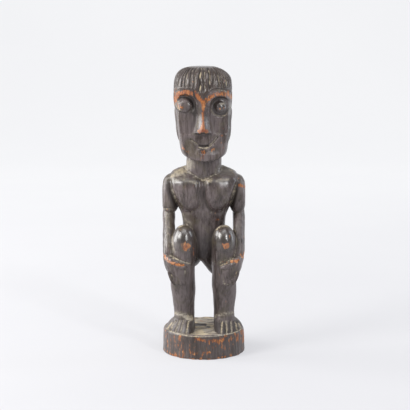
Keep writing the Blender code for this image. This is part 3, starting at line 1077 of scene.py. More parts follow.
def modified(mesh: bpy.types.Mesh, kind: str, **settings: object) -> bpy.types.Mesh:
    """What one modifier makes of a mesh.

    Args:
        mesh: The mesh.
        kind: The modifier's type.
        settings: The modifier's settings.

    Returns:
        A new mesh.
    """
    helper = bpy.data.objects.new("helper", mesh)
    bpy.context.scene.collection.objects.link(helper)
    modifier = helper.modifiers.new("made", kind)
    for name, value in settings.items():
        setattr(modifier, name, value)
    graph = bpy.context.evaluated_depsgraph_get()
    made = bpy.data.meshes.new_from_object(helper.evaluated_get(graph), depsgraph=graph)
    bpy.data.objects.remove(helper)
    return made


def fused(grids: Sequence[Array], grain: float) -> Skin:
    """One closed skin round all the grids.

    Args:
        grids: Closed surfaces that overlap.
        grain: Side of the skin's faces, in millimetres.

    Returns:
        The skin, with quads of nearly one size.
    """
    points: list[Array] = []
    faces: list[Array] = []
    start = 0
    for grid in grids:
        own, groups = capped(grid, start)
        points.append(own)
        faces += groups
        start += len(own)
    mesh = written_mesh("forms", np.concatenate(points), faces)
    return read_skin(modified(mesh, "REMESH", mode="VOXEL", voxel_size=grain * METRES), 4)


# Marks placed as the photograph's camera sees them


@dataclass(frozen=True)
class Studio:
    """Where the camera stands: straight in front and a little above, looking down."""

    distance: float = 1.32
    height: float = 0.3536
    tilt_degrees: float = 8.54
    focal_pixels: float = 1274.0
    picture_pixels: float = 410.0
    centre_pixel: float = 203.8

    def sighted(self, points: Array) -> tuple[Array, Array]:
        """Where the sight line through each point meets the figure's middle plane.

        Args:
            points: Places in millimetres.

        Returns:
            The sideways place and the height on that plane.
        """
        share = self.distance / (self.distance + points[:, 1] * METRES)
        eye = self.height / METRES
        return points[:, 0] * share, eye + (points[:, 2] - eye) * share


@dataclass(frozen=True)
class Mark:
    """A line or a closed patch on the figure's front, on the middle plane's millimetres."""

    path: Path
    width: float = 1.6
    strength: float = 1.0
    filled: bool = False

    def cover(self, u: Array, v: Array) -> Array:
        """How strongly the mark covers each place.

        Args:
            u: Sideways places on the middle plane.
            v: Heights on the middle plane.

        Returns:
            Numbers from 0 to the mark's strength.
        """
        if self.filled:
            return self.strength * panel(u, v, self.path, self.width)
        if len(self.path) == 1:
            (x, z), = self.path
            return self.strength * np.exp(-(((u - x) ** 2 + (v - z) ** 2) / self.width**2))
        return self.strength * stroke(u, v, self.path, self.width)


def covered(marks: Sequence[Mark], u: Array, v: Array) -> Array:
    """The strongest mark's cover at each place."""
    return np.max([mark.cover(u, v) for mark in marks], axis=0)


BROW = (
    (-30.5, 264.0), (-28.3, 269.2), (-24.0, 272.6), (-18.4, 273.2), (-12.9, 272.2), (-8.1, 271.0),
    (-4.6, 267.1), (-0.8, 263.5), (4.5, 266.0), (8.1, 269.4), (12.5, 271.6), (18.8, 272.2),
    (24.3, 271.2), (28.8, 268.0),
)
WORN = (
    Mark(BROW, 3.0, 1.02),
    Mark(((-9.5, 272.5), (-4.6, 267.5), (-0.6, 262.5), (4.6, 266.5)), 3.0, 0.9),
    Mark(((-0.8, 263.5), (-0.3, 257.2), (-0.7, 250.4)), 2.1, 0.95),
    Mark(((-0.7, 250.4), (-0.5, 244.5)), 1.25, 0.9),
    Mark(((-0.7, 243.0), (-1.0, 238.9)), 1.7, 0.95),
    Mark(((-1.0, 238.9), (-1.0, 235.5)), 2.2, 1.0),
    Mark(((-4.4, 232.7), (-0.6, 234.0), (3.0, 232.7)), 2.0, 1.7),
    Mark(((-25.8, 259.3), (-23.4, 257.4)), 2.3, 0.8),
    Mark(((16.6, 256.4),), 1.6, 0.85),
    Mark(((20.4, 257.0),), 1.5, 0.85),
    Mark(((-1.0, 211.1), (-1.0, 204.5)), 1.6, 1.0),
    Mark(((-1.0, 210.8),), 2.4, 0.8),
    Mark(((7.4, 211.7), (9.8, 214.5)), 1.8, 0.66),
    Mark(((-20.9, 215.3),), 2.4, 0.74),
    Mark(((-17.0, 211.9),), 2.2, 0.76),
    Mark(((20.1, 235.7),), 1.3, 0.75),
    Mark(((20.1, 227.9),), 1.3, 0.7),
    Mark(((-30.5, 264.3), (-29.5, 276.2)), 1.8, 0.55),
    Mark(((20.4, 284.0),), 1.8, 0.5),
    Mark(((-0.2, 276.2),), 1.8, 0.5),
    Mark(((37.0, 176.8), (43.6, 174.4)), 1.9, 1.0),
    Mark(((25.8, 168.2),), 2.0, 0.56),
    Mark(((-19.0, 172.2),), 3.2, 0.5),
    Mark(((14.6, 139.8),), 1.8, 0.66),
    Mark(((21.0, 142.2),), 1.2, 0.6),
    Mark((
        (-24.8, 115.4), (-20.8, 116.0), (-13.2, 114.2), (-12.2, 110.8), (-16.5, 108.4), (-17.6, 105.0),
        (-22.6, 106.6), (-24.6, 111.6),
    ), 1.6, 1.0, True),
    Mark(((-11.1, 109.6), (-11.1, 102.2)), 0.9, 0.62),
    Mark((
        (17.4, 118.0), (21.1, 115.4), (27.8, 116.2), (28.4, 111.9), (26.0, 108.2), (22.3, 106.9),
        (19.0, 111.0),
    ), 1.6, 1.0, True),
    Mark(((26.7, 123.1), (27.7, 120.2)), 1.2, 0.66),
    Mark(((-42.4, 102.6), (-38.3, 96.5), (-33.4, 93.6), (-27.3, 91.8), (-22.4, 91.2)), 1.9, 1.1),
    Mark(((20.8, 94.7),), 1.5, 0.95),
    Mark(((24.4, 94.4),), 1.4, 0.9),
    Mark(((29.2, 94.9), (35.9, 95.9)), 1.9, 1.05),
    Mark(((40.8, 100.2), (42.9, 104.6)), 1.8, 1.05),
    Mark(((-34.1, 15.4), (-28.9, 14.0), (-23.6, 13.5)), 1.1, 0.5),
    Mark(((-8.7, 11.6), (-5.0, 9.8), (-0.5, 9.3), (4.0, 7.5), (6.2, 9.5), (14.4, 10.4)), 2.3, 0.86),
    Mark(((15.2, 7.4), (21.2, 10.4)), 2.4, 0.9),
    Mark(((29.7, 15.0), (29.8, 9.6)), 1.8, 0.72),
    Mark(((35.7, 16.0), (35.7, 10.2)), 1.8, 1.0),
    Mark(((41.1, 20.5), (42.0, 9.1)), 2.0, 1.0),
    Mark(((-42.4, 0.5), (-34.9, -5.2), (-27.4, -8.4)), 1.8, 0.66),
    Mark(((-13.5, -4.6), (-5.0, -5.0), (7.2, -4.0)), 3.0, 0.52),
    Mark(((-27.4, -8.6), (-15.5, -10.6), (-0.5, -11.6), (12.0, -10.9), (24.0, -8.0)), 1.3, 0.66),
    Mark(((-26.8, 11.4), (-27.2, 6.0), (-27.4, -6.0)), 1.1, 0.58),
    Mark(((-22.2, 8.6), (-21.8, -8.2)), 1.2, 0.7),
    Mark(((-24.7, 10.8),), 3.6, 0.4),
    Mark(((-14.0, 1.0),), 5.0, 0.36),
    Mark(((3.0, 2.0), (14.0, 3.0)), 4.0, 0.34),
    Mark(((36.8, 17.0), (30.0, 15.4), (20.0, 13.4)), 1.6, 0.6),
)
# Dust where marks put it. A few marks paint highlights in the dust's colour: on the nose's left flank, the
# eyeballs and the chest's top ledge.
DUST_AND_HIGHLIGHTS = (
    Mark((
        (-44.0, 178.0), (-39.0, 185.0), (-31.0, 194.0), (-20.6, 199.0), (-14.0, 196.0), (-13.6, 188.3),
        (-22.6, 184.5), (-36.0, 181.1),
    ), 4.0, 0.76, True),
    Mark((
        (-20.6, 194.0), (-12.6, 188.3), (-6.2, 184.0), (-1.4, 181.2), (5.0, 184.0), (12.2, 188.3),
        (12.9, 193.4),
    ), 1.1, 0.75),
    Mark(((-43.1, 151.2), (-31.5, 151.2)), 0.7, 0.8),
    Mark((
        (-43.5, 151.4), (-31.3, 151.4), (-31.0, 131.7), (-34.2, 128.0), (-33.1, 108.6), (-38.3, 104.7),
        (-41.5, 126.0),
    ), 3.0, 0.38, True),
    Mark((
        (33.5, 146.4), (38.5, 150.2), (39.4, 130.0), (37.6, 109.6), (33.0, 103.5), (34.0, 128.0),
    ), 2.5, 0.28, True),
    Mark((
        (-30.9, 105.5), (-32.8, 113.7), (-33.0, 124.3), (-29.6, 131.3), (-19.1, 134.8), (-12.7, 131.7),
        (-8.7, 123.5), (-7.2, 115.3), (-7.1, 105.5),
    ), 1.1, 0.85),
    Mark((
        (9.0, 109.6), (9.4, 118.6), (11.4, 127.6), (17.1, 132.5), (22.7, 133.7), (29.9, 131.7),
        (34.0, 126.0), (34.7, 109.6), (31.6, 100.6),
    ), 1.1, 0.85),
    Mark(((-36.1, 102.2), (-28.9, 98.1), (-20.8, 94.4), (-15.2, 93.2)), 1.2, 1.0),
    Mark(((34.5, 101.8), (29.0, 98.5), (22.0, 96.9), (14.0, 92.2)), 1.0, 0.6),
    Mark(((-21.5, 144.7), (-19.1, 139.0), (-14.9, 135.9)), 4.2, 0.62),
    Mark(((-34.2, 178.1), (-32.3, 169.0), (-26.5, 154.4), (-22.9, 145.5)), 0.7, 0.5),
    # Pale patch on the nose's left flank: a painted highlight where the light from the left falls, in the
    # dust's colour.
    Mark((
        (-6.4, 262.0), (-3.4, 262.0), (-2.6, 252.7), (-3.4, 244.5), (-5.0, 235.8), (-8.9, 232.5),
        (-9.7, 234.7), (-8.3, 242.4), (-6.9, 248.9), (-7.2, 257.1),
    ), 1.4, 0.52, True),
    Mark(((32.6, 170.6), (28.6, 157.7), (24.2, 147.1)), 0.8, 0.6),
    Mark(((-19.5, 33.6), (-15.4, 31.9), (-12.0, 31.3)), 1.5, 1.0),
    Mark(((-5.0, 216.4), (-0.5, 214.9), (3.9, 216.2)), 0.85, 1.15),
    Mark(((5.7, 218.0), (11.0, 223.2), (13.3, 226.4)), 0.65, 1.0),
    Mark(((1.6, 214.3), (6.3, 216.7), (12.0, 222.2)), 0.6, 0.85),
    Mark(((-13.1, 223.7), (-7.9, 220.1), (-4.5, 217.6)), 0.65, 0.9),
    Mark(((-30.0, 261.0), (-27.0, 256.6), (-23.0, 253.4)), 0.8, 0.9),
    # Painted highlight along the left eyeball's upper edge, in the dust's colour.
    Mark(((-29.8, 261.5), (-26.0, 263.6)), 1.2, 0.6),
    Mark(((6.9, 256.4), (10.1, 250.8), (15.7, 248.4), (22.0, 249.2), (27.5, 258.0)), 0.8, 0.8),
    Mark(((13.2, 275.8), (20.4, 275.2), (26.7, 273.0)), 0.7, 0.85),
    # Painted highlight on the right eyeball, in the dust's colour.
    Mark(((17.6, 261.2), (21.4, 261.6)), 1.5, 0.75),
    # Painted highlights along the chest's top ledge, in the dust's colour.
    Mark(((-33.0, 181.8), (-20.0, 182.8)), 3.6, 0.5),
    Mark(((-14.0, 180.4), (-7.0, 178.2)), 2.2, 0.66),
    Mark(((2.2, 180.0), (7.2, 182.0)), 3.6, 0.66),
    Mark(((14.0, 181.4), (25.6, 182.4)), 2.6, 0.62),
    Mark(((-29.5, 39.4), (-20.0, 37.0), (-12.9, 34.6), (-10.5, 32.0)), 3.8, 0.74),
    Mark(((-21.5, 35.6), (-15.0, 33.4), (-12.0, 31.4)), 2.0, 1.1),
    Mark(((11.9, 36.0), (19.0, 38.4), (30.8, 39.6)), 3.6, 0.64),
    Mark((
        (-36.5, 19.8), (-28.3, 16.7), (-16.5, 14.3), (-2.3, 13.3), (11.9, 14.1), (23.7, 15.8),
        (33.2, 18.5), (41.4, 22.8),
    ), 0.85, 1.0),
    Mark(((-38.9, 24.0), (-33.0, 19.5), (-22.4, 17.2), (-10.5, 16.3)), 0.9, 0.75),
    Mark(((-9.4, 24.0), (-1.1, 20.4), (10.7, 19.1)), 4.0, 0.9),
    Mark(((-19.6, 85.8), (-20.0, 82.5)), 1.2, 0.8),
)
TOE_LINES: tuple[Path, ...] = (
    ((-16.3, 30.1), (-18.0, 21.4), (-18.4, 18.1)),
    ((-21.5, 31.1), (-23.2, 25.2), (-25.1, 18.1)),
    ((-25.5, 31.1), (-27.7, 25.9), (-30.2, 19.0)),
    ((-29.9, 30.5), (-32.6, 26.7), (-35.6, 20.4)),
    ((-33.4, 29.4), (-35.9, 26.3), (-38.9, 22.3)),
    ((19.5, 29.4), (18.9, 23.6), (18.3, 16.9)),
    ((23.7, 30.5), (24.3, 24.4), (24.3, 18.1)),
    ((28.6, 30.1), (29.3, 25.2), (29.7, 18.8)),
    ((33.4, 29.4), (34.7, 25.2), (35.7, 19.6)),
    ((37.2, 28.2), (38.9, 24.4), (39.8, 20.4)),
)
FINGER_LINES: tuple[Path, ...] = (
    ((-37.6, 79.2), (-32.4, 73.9)),
    ((-34.6, 81.5), (-29.4, 73.1)),
    ((-31.3, 83.0), (-25.7, 73.9)),
    ((25.5, 78.4), (30.7, 71.6)),
    ((20.3, 81.5), (21.0, 71.6), (26.2, 69.7)),
    ((30.7, 76.9), (35.1, 81.5)),
)
POLISHED = (
    Mark(((-22.0, 120.0),), 13.0, 1.1),
    Mark(((21.5, 119.0),), 12.0, 1.1),
    Mark(((-32.0, 180.5), (-8.0, 179.5)), 4.5, 0.8),
    Mark(((3.0, 180.5), (26.0, 180.5)), 4.5, 0.8),
    Mark(((-18.0, 258.0),), 8.0, 0.3),
    Mark(((19.0, 258.5),), 7.5, 1.0),
    Mark(((-34.0, 25.0), (-15.0, 25.0)), 8.0, 0.3),
    Mark(((-3.0, 241.0),), 8.0, 0.6),
)
# Painted shade: marks that darken the eye sockets, the brow's left, the nose's ridge, sides and underside,
# the mouth, the gaps beside the ears, the grooves between arms and chest, the chest's middle groove, the
# lower belly and the gaps at the feet. On worn wood they also turn the orange to a darker red.
PAINTED_SHADE = (
    Mark(((-38.0, 179.5), (-37.4, 170.6), (-34.6, 162.5), (-31.4, 152.8)), 2.6, 0.75),
    Mark(((36.4, 178.7), (34.4, 166.6), (31.4, 157.7), (28.6, 151.2)), 2.4, 0.7),
    Mark(((-9.0, 129.0), (-6.5, 118.0), (-6.2, 100.0)), 3.5, 0.55),
    Mark(((9.0, 127.0), (7.0, 116.0), (6.8, 100.0)), 3.5, 0.55),
    Mark(((-0.5, 104.0),), 9.0, 0.5),
    Mark(((-29.6, 264.3), (-24.0, 267.5), (-18.4, 267.9), (-12.8, 265.6)), 1.2),
    Mark(((-13.6, 265.2), (-9.6, 261.0), (-8.4, 254.4), (-9.0, 249.5)), 2.9),
    Mark(((-8.6, 249.5), (-10.5, 242.4), (-12.7, 236.9)), 2.4, 0.55),
    Mark(((-29.8, 258.7), (-27.4, 254.9), (-23.6, 253.0)), 0.7, 0.85),
    Mark(((-23.6, 253.0), (-18.0, 251.8), (-12.5, 252.6)), 0.8, 0.5),
    Mark(((-13.0, 252.2), (-8.8, 250.0)), 1.8, 0.75),
    Mark(((27.0, 250.0), (26.6, 238.0)), 0.9, 0.85),
    Mark(((26.4, 235.5), (24.8, 221.5)), 0.9, 0.85),
    Mark(((-28.6, 250.0), (-26.8, 221.5)), 0.8, 0.6),
    Mark(((8.2, 261.1), (10.9, 265.0), (15.6, 267.5), (22.0, 267.5), (26.9, 264.3)), 1.3, 0.9),
    Mark((
        (10.4, 261.1), (9.7, 256.4), (12.2, 251.9), (17.3, 250.2), (22.6, 251.9), (25.8, 256.4),
    ), 1.2, 0.85),
    Mark(((-9.8, 230.1), (-1.0, 230.6), (7.0, 229.8)), 1.2, 0.7),
    Mark(((-4.7, 218.1), (-0.5, 217.4), (3.7, 218.1)), 1.3, 1.0),
    Mark(((-29.9, 271.8), (-24.0, 275.4), (-19.2, 276.3)), 0.8, 0.9),
    Mark(((12.5, 277.1), (18.8, 276.9), (27.5, 274.2)), 0.7, 0.9),
    Mark(((-3.7, 213.0), (1.6, 213.0)), 1.1, 0.9),
    Mark(((-8.7, 27.2), (1.7, 26.8)), 1.2, 1.0),
    Mark(((-30.0, 268.0), (-22.0, 274.0), (-11.0, 273.5), (-5.0, 268.0)), 3.8, 0.74),
    Mark(((-0.7, 260.0), (-0.7, 236.0)), 2.4, 0.66),
    Mark(((-4.4, 232.9), (-0.6, 233.8), (3.0, 232.9)), 3.0, 0.8),
    Mark(((37.5, 150.0), (37.5, 108.0)), 5.0, 0.4),
    Mark(((11.0, 211.8),), 4.0, 0.5),
    Mark(((3.6, 24.3), (6.2, 24.3)), 0.8, 0.8),
    Mark(((-36.6, 16.4), (-28.3, 14.5), (-16.5, 12.5), (-2.3, 11.6), (11.9, 12.5), (23.7, 14.3)), 0.8, 0.7),
    Mark(((1.4, 174.3), (0.2, 169.0), (1.0, 160.9), (4.2, 152.8), (7.0, 149.1)), 1.6, 0.65),
)
CUTS: tuple[tuple[Path, float, float], ...] = (
    (((-36.4, 181.5), (-33.8, 169.0), (-28.0, 155.4), (-24.5, 147.5)), 2.0, 1.8),
    (((34.6, 176.6), (29.6, 158.7), (25.6, 149.1)), 2.0, 1.8),
    (((-20.6, 194.0), (-12.6, 188.3), (-6.2, 184.3), (-1.4, 181.7), (5.0, 184.7), (12.2, 188.3)), 1.2, 0.7),
    (((-43.1, 151.6), (-31.5, 151.6)), 0.9, 0.5),
    (((0.4, 181.0), (1.4, 176.3), (0.2, 169.0), (1.0, 160.9), (4.2, 152.8), (8.0, 148.1)), 1.7, 1.7),
    (((-23.5, 151.2), (-19.1, 147.5), (-13.5, 147.1), (-9.4, 150.4)), 1.8, 0.5),
    (((8.2, 149.2), (13.0, 146.8), (17.8, 147.1), (22.6, 151.2)), 1.8, 0.5),
    (((-36.1, 102.6), (-28.9, 98.6), (-20.8, 94.9), (-15.2, 93.7)), 0.9, 0.6),
    (((-8.7, 26.9), (1.7, 26.6)), 1.1, 1.6),
    (((-31.0, 38.6), (-24.3, 37.9), (-18.4, 37.2), (-13.3, 34.7)), 1.0, 0.4),
    (((12.0, 37.4), (21.1, 38.0), (31.8, 37.2)), 1.0, 0.4),
)
SOFTENED = (
    (32.0, 4.0, 160.0, 14.0),
    (19.0, 2.0, 166.0, 9.0),
    (36.5, 8.0, 124.0, 8.0),
    (19.0, -6.0, 92.0, 9.0),
    (14.0, 18.0, 84.0, 14.0),
    (22.0, -16.0, 39.0, 13.0),
    (22.0, -14.0, 16.0, 5.0),
    (14.0, 12.0, 62.0, 9.0),
    (32.0, -14.0, 51.0, 11.0),
    (12.5, -26.0, 187.0, 7.5),
)


# The carving as one piece


@dataclass(frozen=True)
class Wood:
    """Numbers for the carved surface's fine relief, in millimetres."""

    grain: float = 0.52
    facet_size: float = 9.0
    facet_depth: float = 0.22
    ripple_size: float = 2.6
    ripple_depth: float = 0.045
    most_triangles: int = 194_000


class Carving:
    """The whole figure and its base as one carved skin with its colour masks."""

    NAME = "guardian_figure_carving"

    def __init__(self, wood: Wood, studio: Studio) -> None:
        """Builds the skin from all the forms."""
        self.wood = wood
        self.studio = studio
        self.hair = Hair()
        self.head = Head(Face(), self.hair)
        self.skin = self.raised()

    def raised(self) -> Skin:
        """The fused skin after smoothing and fine relief, cut down to the allowed number of triangles.

        Returns:
            The final skin, with triangles.
        """
        parts = (self.head, Body(), Arms(), Legs(), Base())
        grids: list[Array] = []
        for part in parts:
            own = part.grids()
            count = sum(grid[..., 0].size for grid in own)
            LOG.info("%s: %d surfaces, %d points", type(part).__name__, len(own), count)
            grids += own
        skin = fused(grids, self.wood.grain)
        skin.relax(2, 0.5)
        skin.relax(10, self.blending(skin.points))
        skin.push(self.relief(skin))
        skin.relax(1, 0.3)
        LOG.info("skin: %d faces before it is reduced", len(skin.faces))
        share = self.wood.most_triangles / (2 * len(skin.faces))
        mesh = written_mesh("skin", skin.points, [skin.faces])
        kept = modified(mesh, "DECIMATE", ratio=share, use_collapse_triangulate=True)
        final = read_skin(kept, 3)
        low, high = (np.array(corner) / METRES for corner in CAD_BOUNDS)
        final.points = np.clip(final.points, low + 0.01, high - 0.01)
        return final

    def blending(self, points: Array) -> Array:
        """How much each place is smoothed: more where two forms were carved into each other.

        Args:
            points: Places in millimetres.

        Returns:
            Weights for the smoothing.
        """
        x, y, z = out_of_figure(points)
        weight = np.zeros(len(points))
        for aside, along, up, reach in SOFTENED:
            apart = np.sqrt((abs(x) - aside) ** 2 + (y - along) ** 2 + (z - up) ** 2)
            weight = np.maximum(weight, 0.6 * ramp(apart, reach, reach * 0.5))
        return weight

    def relief(self, skin: Skin) -> Array:
        """Fine relief along the normals: tool facets, partings, carved lines, toes, fingers and base.

        Args:
            skin: The smoothed skin.

        Returns:
            Millimetres outward for each point.
        """
        points, normals = skin.points, skin.normals()
        u, v = self.studio.sighted(points)
        front = ramp(-normals[:, 1], 0.05, 0.45)
        stretched = points * (1.0, 1.0, 0.55)
        on_body = ramp(points[:, 2], BASE_TOP - 1, BASE_TOP + 4)
        calm = 1 - np.maximum(0.6 * ramp(points[:, 2], 205, 215), 0.85 * covered(POLISHED[:2], u, v))
        facets = ripple(stretched, self.wood.facet_size, 3)
        facets = np.sign(facets) * abs(facets) ** 0.7
        ripples = self.wood.ripple_depth * ripple(stretched, self.wood.ripple_size, 4, 30)
        raised = self.wood.facet_depth * facets * calm + ripples
        x, y, z = out_of_figure(points)
        locks = self.hair.groove * self.hair.cut(self.hair.angle(x, y, z), z)
        foot = ramp(z, -0.8, 0.8) * (1 - ramp(z, 17.0, 20.0))
        toes = 1.7 * foot * front * strokes(u, v, TOE_LINES, 1.35)
        fingers = 0.6 * front * strokes(u, v, FINGER_LINES, 0.9)
        cut = np.zeros(len(points))
        for path, width, depth in CUTS:
            cut = np.maximum(cut, depth * stroke(u, v, path, width))
        top = ramp(normals[:, 2], 0.8, 0.95) * (1 - ramp(points[:, 2], BASE_TOP + 0.5, BASE_TOP + 1.5))
        streaks = ripple(points * (0.12, 1.0, 1.0), 2.4, 8) * 0.22 * top
        side = (1 - on_body) * ramp(abs(normals[:, 2]), 0.6, 0.2)
        chatter = ripple(points * (1.0, 1.0, 0.1), 2.8, 9) * 0.10 * side
        return raised - cut * np.maximum(front, top) - locks - toes - fingers + streaks + chatter

    def masks(self) -> dict[str, Array]:
        """The colour masks: dust, worn places, painted shade, hair with the base's wall, and polish.

        Dust gathers in recesses, on level places and where marks put it, and in the hair's partings and toe
        lines; a few dust marks are painted highlights. Wear comes from marks, from sharp edges where they
        are out of sight, and from the base's rim. The dark mask is painted shade: in recesses, below about
        58 to
        74 mm except at the far left, on the toes, along one side of each parting and under the shade marks.

        Returns:
            A value from 0 to about 1 for each point, by the mask's name.
        """
        skin = self.skin
        points, normals = skin.points, skin.normals()
        x, y, z = out_of_figure(points)
        u, v = self.studio.sighted(points)
        front = ramp(-normals[:, 1], -0.15, 0.25)
        near, wide = skin.hollowness(4), skin.hollowness(30)
        angle = self.hair.angle(x, y, z)
        above = self.hair.above(angle, z)
        hair = ramp(above, -0.4, 0.6) * ramp(z, 190, 196)
        noise = ripple(points, 7.0, 21)
        fine = ripple(points, 2.2, 22)
        recess = np.clip(near / 0.16, 0, 1)
        broad = np.clip(wide / 0.9, 0, 1)
        edge = np.clip(-near / 0.14 - 0.35, 0, 1)
        face = ramp(z, 178, 186) * (1 - hair)
        dust = 0.62 * recess * (0.7 + 0.4 * noise) * (1 - 0.75 * face)
        dust = dust + 0.5 * broad * (1 - 0.6 * face) * (0.7 + 0.5 * fine)
        top = ramp(normals[:, 2], 0.75, 0.95) * ramp(points[:, 2], BASE_TOP - 1.2, BASE_TOP - 0.4)
        on_base = top * (1 - ramp(points[:, 2], BASE_TOP + 1.0, BASE_TOP + 2.0))
        seen = np.maximum(front, on_base)
        # Painted shade from the shade marks, on faces seen from the front.
        painted_shade_marks = covered(PAINTED_SHADE, u, v) * seen
        streaks = ripple(points * (0.12, 1.0, 1.0), 2.6, 23)
        dust = np.maximum(dust, on_base * (0.86 + 0.42 * streaks))
        settled = 0.45 * ramp(normals[:, 2], 0.5, 0.9) * (1 - hair) * ramp(z, 120, 150) * (0.6 + 0.5 * noise)
        dust = np.maximum(dust, settled * (1 - ramp(z, 172, 176)))
        # Dust marks; a few of them are painted highlights on the chest's ledge, the eyeballs and the nose's
        # left flank.
        dust = np.maximum(dust, covered(DUST_AND_HIGHLIGHTS, u, v) * seen * (0.85 + 0.25 * fine))
        neck = ramp(z, 164, 170) * (1 - ramp(z, 176.5, 180)) * ramp(y, -22.0, -14.0)
        dust = np.maximum(dust, neck * front * ramp(u, 2.0, -18.0) * 0.60)
        wear = covered(WORN, u, v) * ramp(-normals[:, 1], -0.1, 0.15)
        hidden = ramp(normals[:, 1], -0.2, 0.2)
        chafed = edge * 0.5 * (0.4 + 0.7 * noise) * np.maximum(hidden, 0.35) * (1 - 0.5 * hair)
        wear = np.maximum(wear, chafed) * (1 - on_base)
        wall = (1 - ramp(points[:, 2], BASE_TOP - 1.5, BASE_TOP)) * ramp(abs(normals[:, 2]), 0.7, 0.3)
        wear = np.maximum(wear, wall * (0.30 + 0.10 * noise))
        hair = np.maximum(hair, 0.6 * wall)
        rim = ramp(points[:, 2], 18, 24) * (1 - ramp(points[:, 2], BASE_TOP, BASE_TOP + 1)) * hidden
        wear = np.maximum(wear, rim * (0.35 + 0.5 * ripple(points * (1, 1, 0.3), 9.0, 31)))
        # Painted shade in recesses, by how deep each point lies under its surroundings.
        dark = np.maximum(np.clip(near / 0.3, 0, 1) * 0.7, painted_shade_marks)
        # Painted shade below about 58 to 74 mm, except at the far left where the light falls.
        low = 0.42 * ramp(z, 74, 58) * (1 - on_base) * ramp(x, -42, -30)
        dark = np.maximum(dark, low * (1 - ramp(dust, 0.2, 0.5)))
        lock_line = ramp(self.hair.cut(angle, z), 0.42, 0.80) * (0.74 + 0.40 * noise)
        # Painted shade along one side of each parting.
        lock_shade = ramp(self.hair.cut(angle + 0.04, z), 0.35, 0.75) * (1 - lock_line)
        on_foot = ramp(z, -0.4, 0.6) * (1 - ramp(z, 17.0, 20.0)) * front
        toe_line = 0.98 * on_foot * strokes(u, v, TOE_LINES, 1.15)
        toe_line = toe_line * (0.85 + 0.3 * fine)
        toes = on_foot * ramp(z, 13.0, 9.0)
        dust = dust * (1 - 0.9 * painted_shade_marks) * (1 - 0.5 * toes)
        dust = np.maximum(dust * (1 - 0.6 * hair), np.maximum(lock_line, toe_line))
        polish = covered(POLISHED, u, v) * front * (1 - ramp(dust, 0.3, 0.7))
        in_lock, in_toe = ramp(lock_line, 0.1, 0.5), ramp(toe_line, 0.1, 0.5)
        # Painted shade on the toes, stronger on the right foot, except in the toe lines.
        dark = np.maximum(dark, (0.55 + 0.25 * ramp(x, 0, 10)) * toes * (1 - in_toe))
        dark = np.maximum(dark * (1 - 0.7 * np.maximum(in_lock, in_toe)), 0)
        dark = np.maximum(dark, 0.8 * lock_shade)
        return dict(zip(MASKS, (dust, wear, dark, hair, polish)))

    def build(self, material: bpy.types.Material) -> bpy.types.Object:
        """Makes the piece.

        Args:
            material: Its material.

        Returns:
            The object.
        """
        mesh = written_mesh(self.NAME, self.skin.points, [self.skin.faces])
        for name, values in self.masks().items():
            layer = mesh.attributes.new(name, "FLOAT", "POINT")
            layer.data.foreach_set("value", np.clip(values, 0, 1.3).astype(np.float32))
        mesh.materials.append(material)
        made = bpy.data.objects.new(self.NAME, mesh)
        bpy.context.scene.collection.objects.link(made)
        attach(made, "root")
        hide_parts("guardian_figure")
        LOG.info("%s: %d triangles", self.NAME, len(self.skin.faces))
        return made


# Materials


class Value:
    """A shader socket that takes part in arithmetic, so that a material reads as formulas."""

    def __init__(self, graph: "Graph", socket: bpy.types.NodeSocket) -> None:
        """Wraps a socket of a node tree."""
        self.graph = graph
        self.socket = socket

    def __add__(self, other: "Value | float") -> "Value":
        """This value plus another."""
        return self.graph.maths("ADD", self, other)

    def __radd__(self, other: float) -> "Value":
        """A number plus this value."""
        return self.graph.maths("ADD", other, self)

    def __sub__(self, other: "Value | float") -> "Value":
        """This value less another."""
        return self.graph.maths("SUBTRACT", self, other)

    def __rsub__(self, other: float) -> "Value":
        """A number less this value."""
        return self.graph.maths("SUBTRACT", other, self)

    def __mul__(self, other: "Value | float") -> "Value":
        """This value times another."""
        return self.graph.maths("MULTIPLY", self, other)

    def __rmul__(self, other: float) -> "Value":
        """A number times this value."""
        return self.graph.maths("MULTIPLY", other, self)

    def ramp(self, low: float, high: float) -> "Value":
        """A smooth step from 0 at low to 1 at high."""
        settings = {"interpolation_type": "SMOOTHSTEP"}
        return self.graph.node("ShaderNodeMapRange", settings, {0: self, 1: low, 2: high})


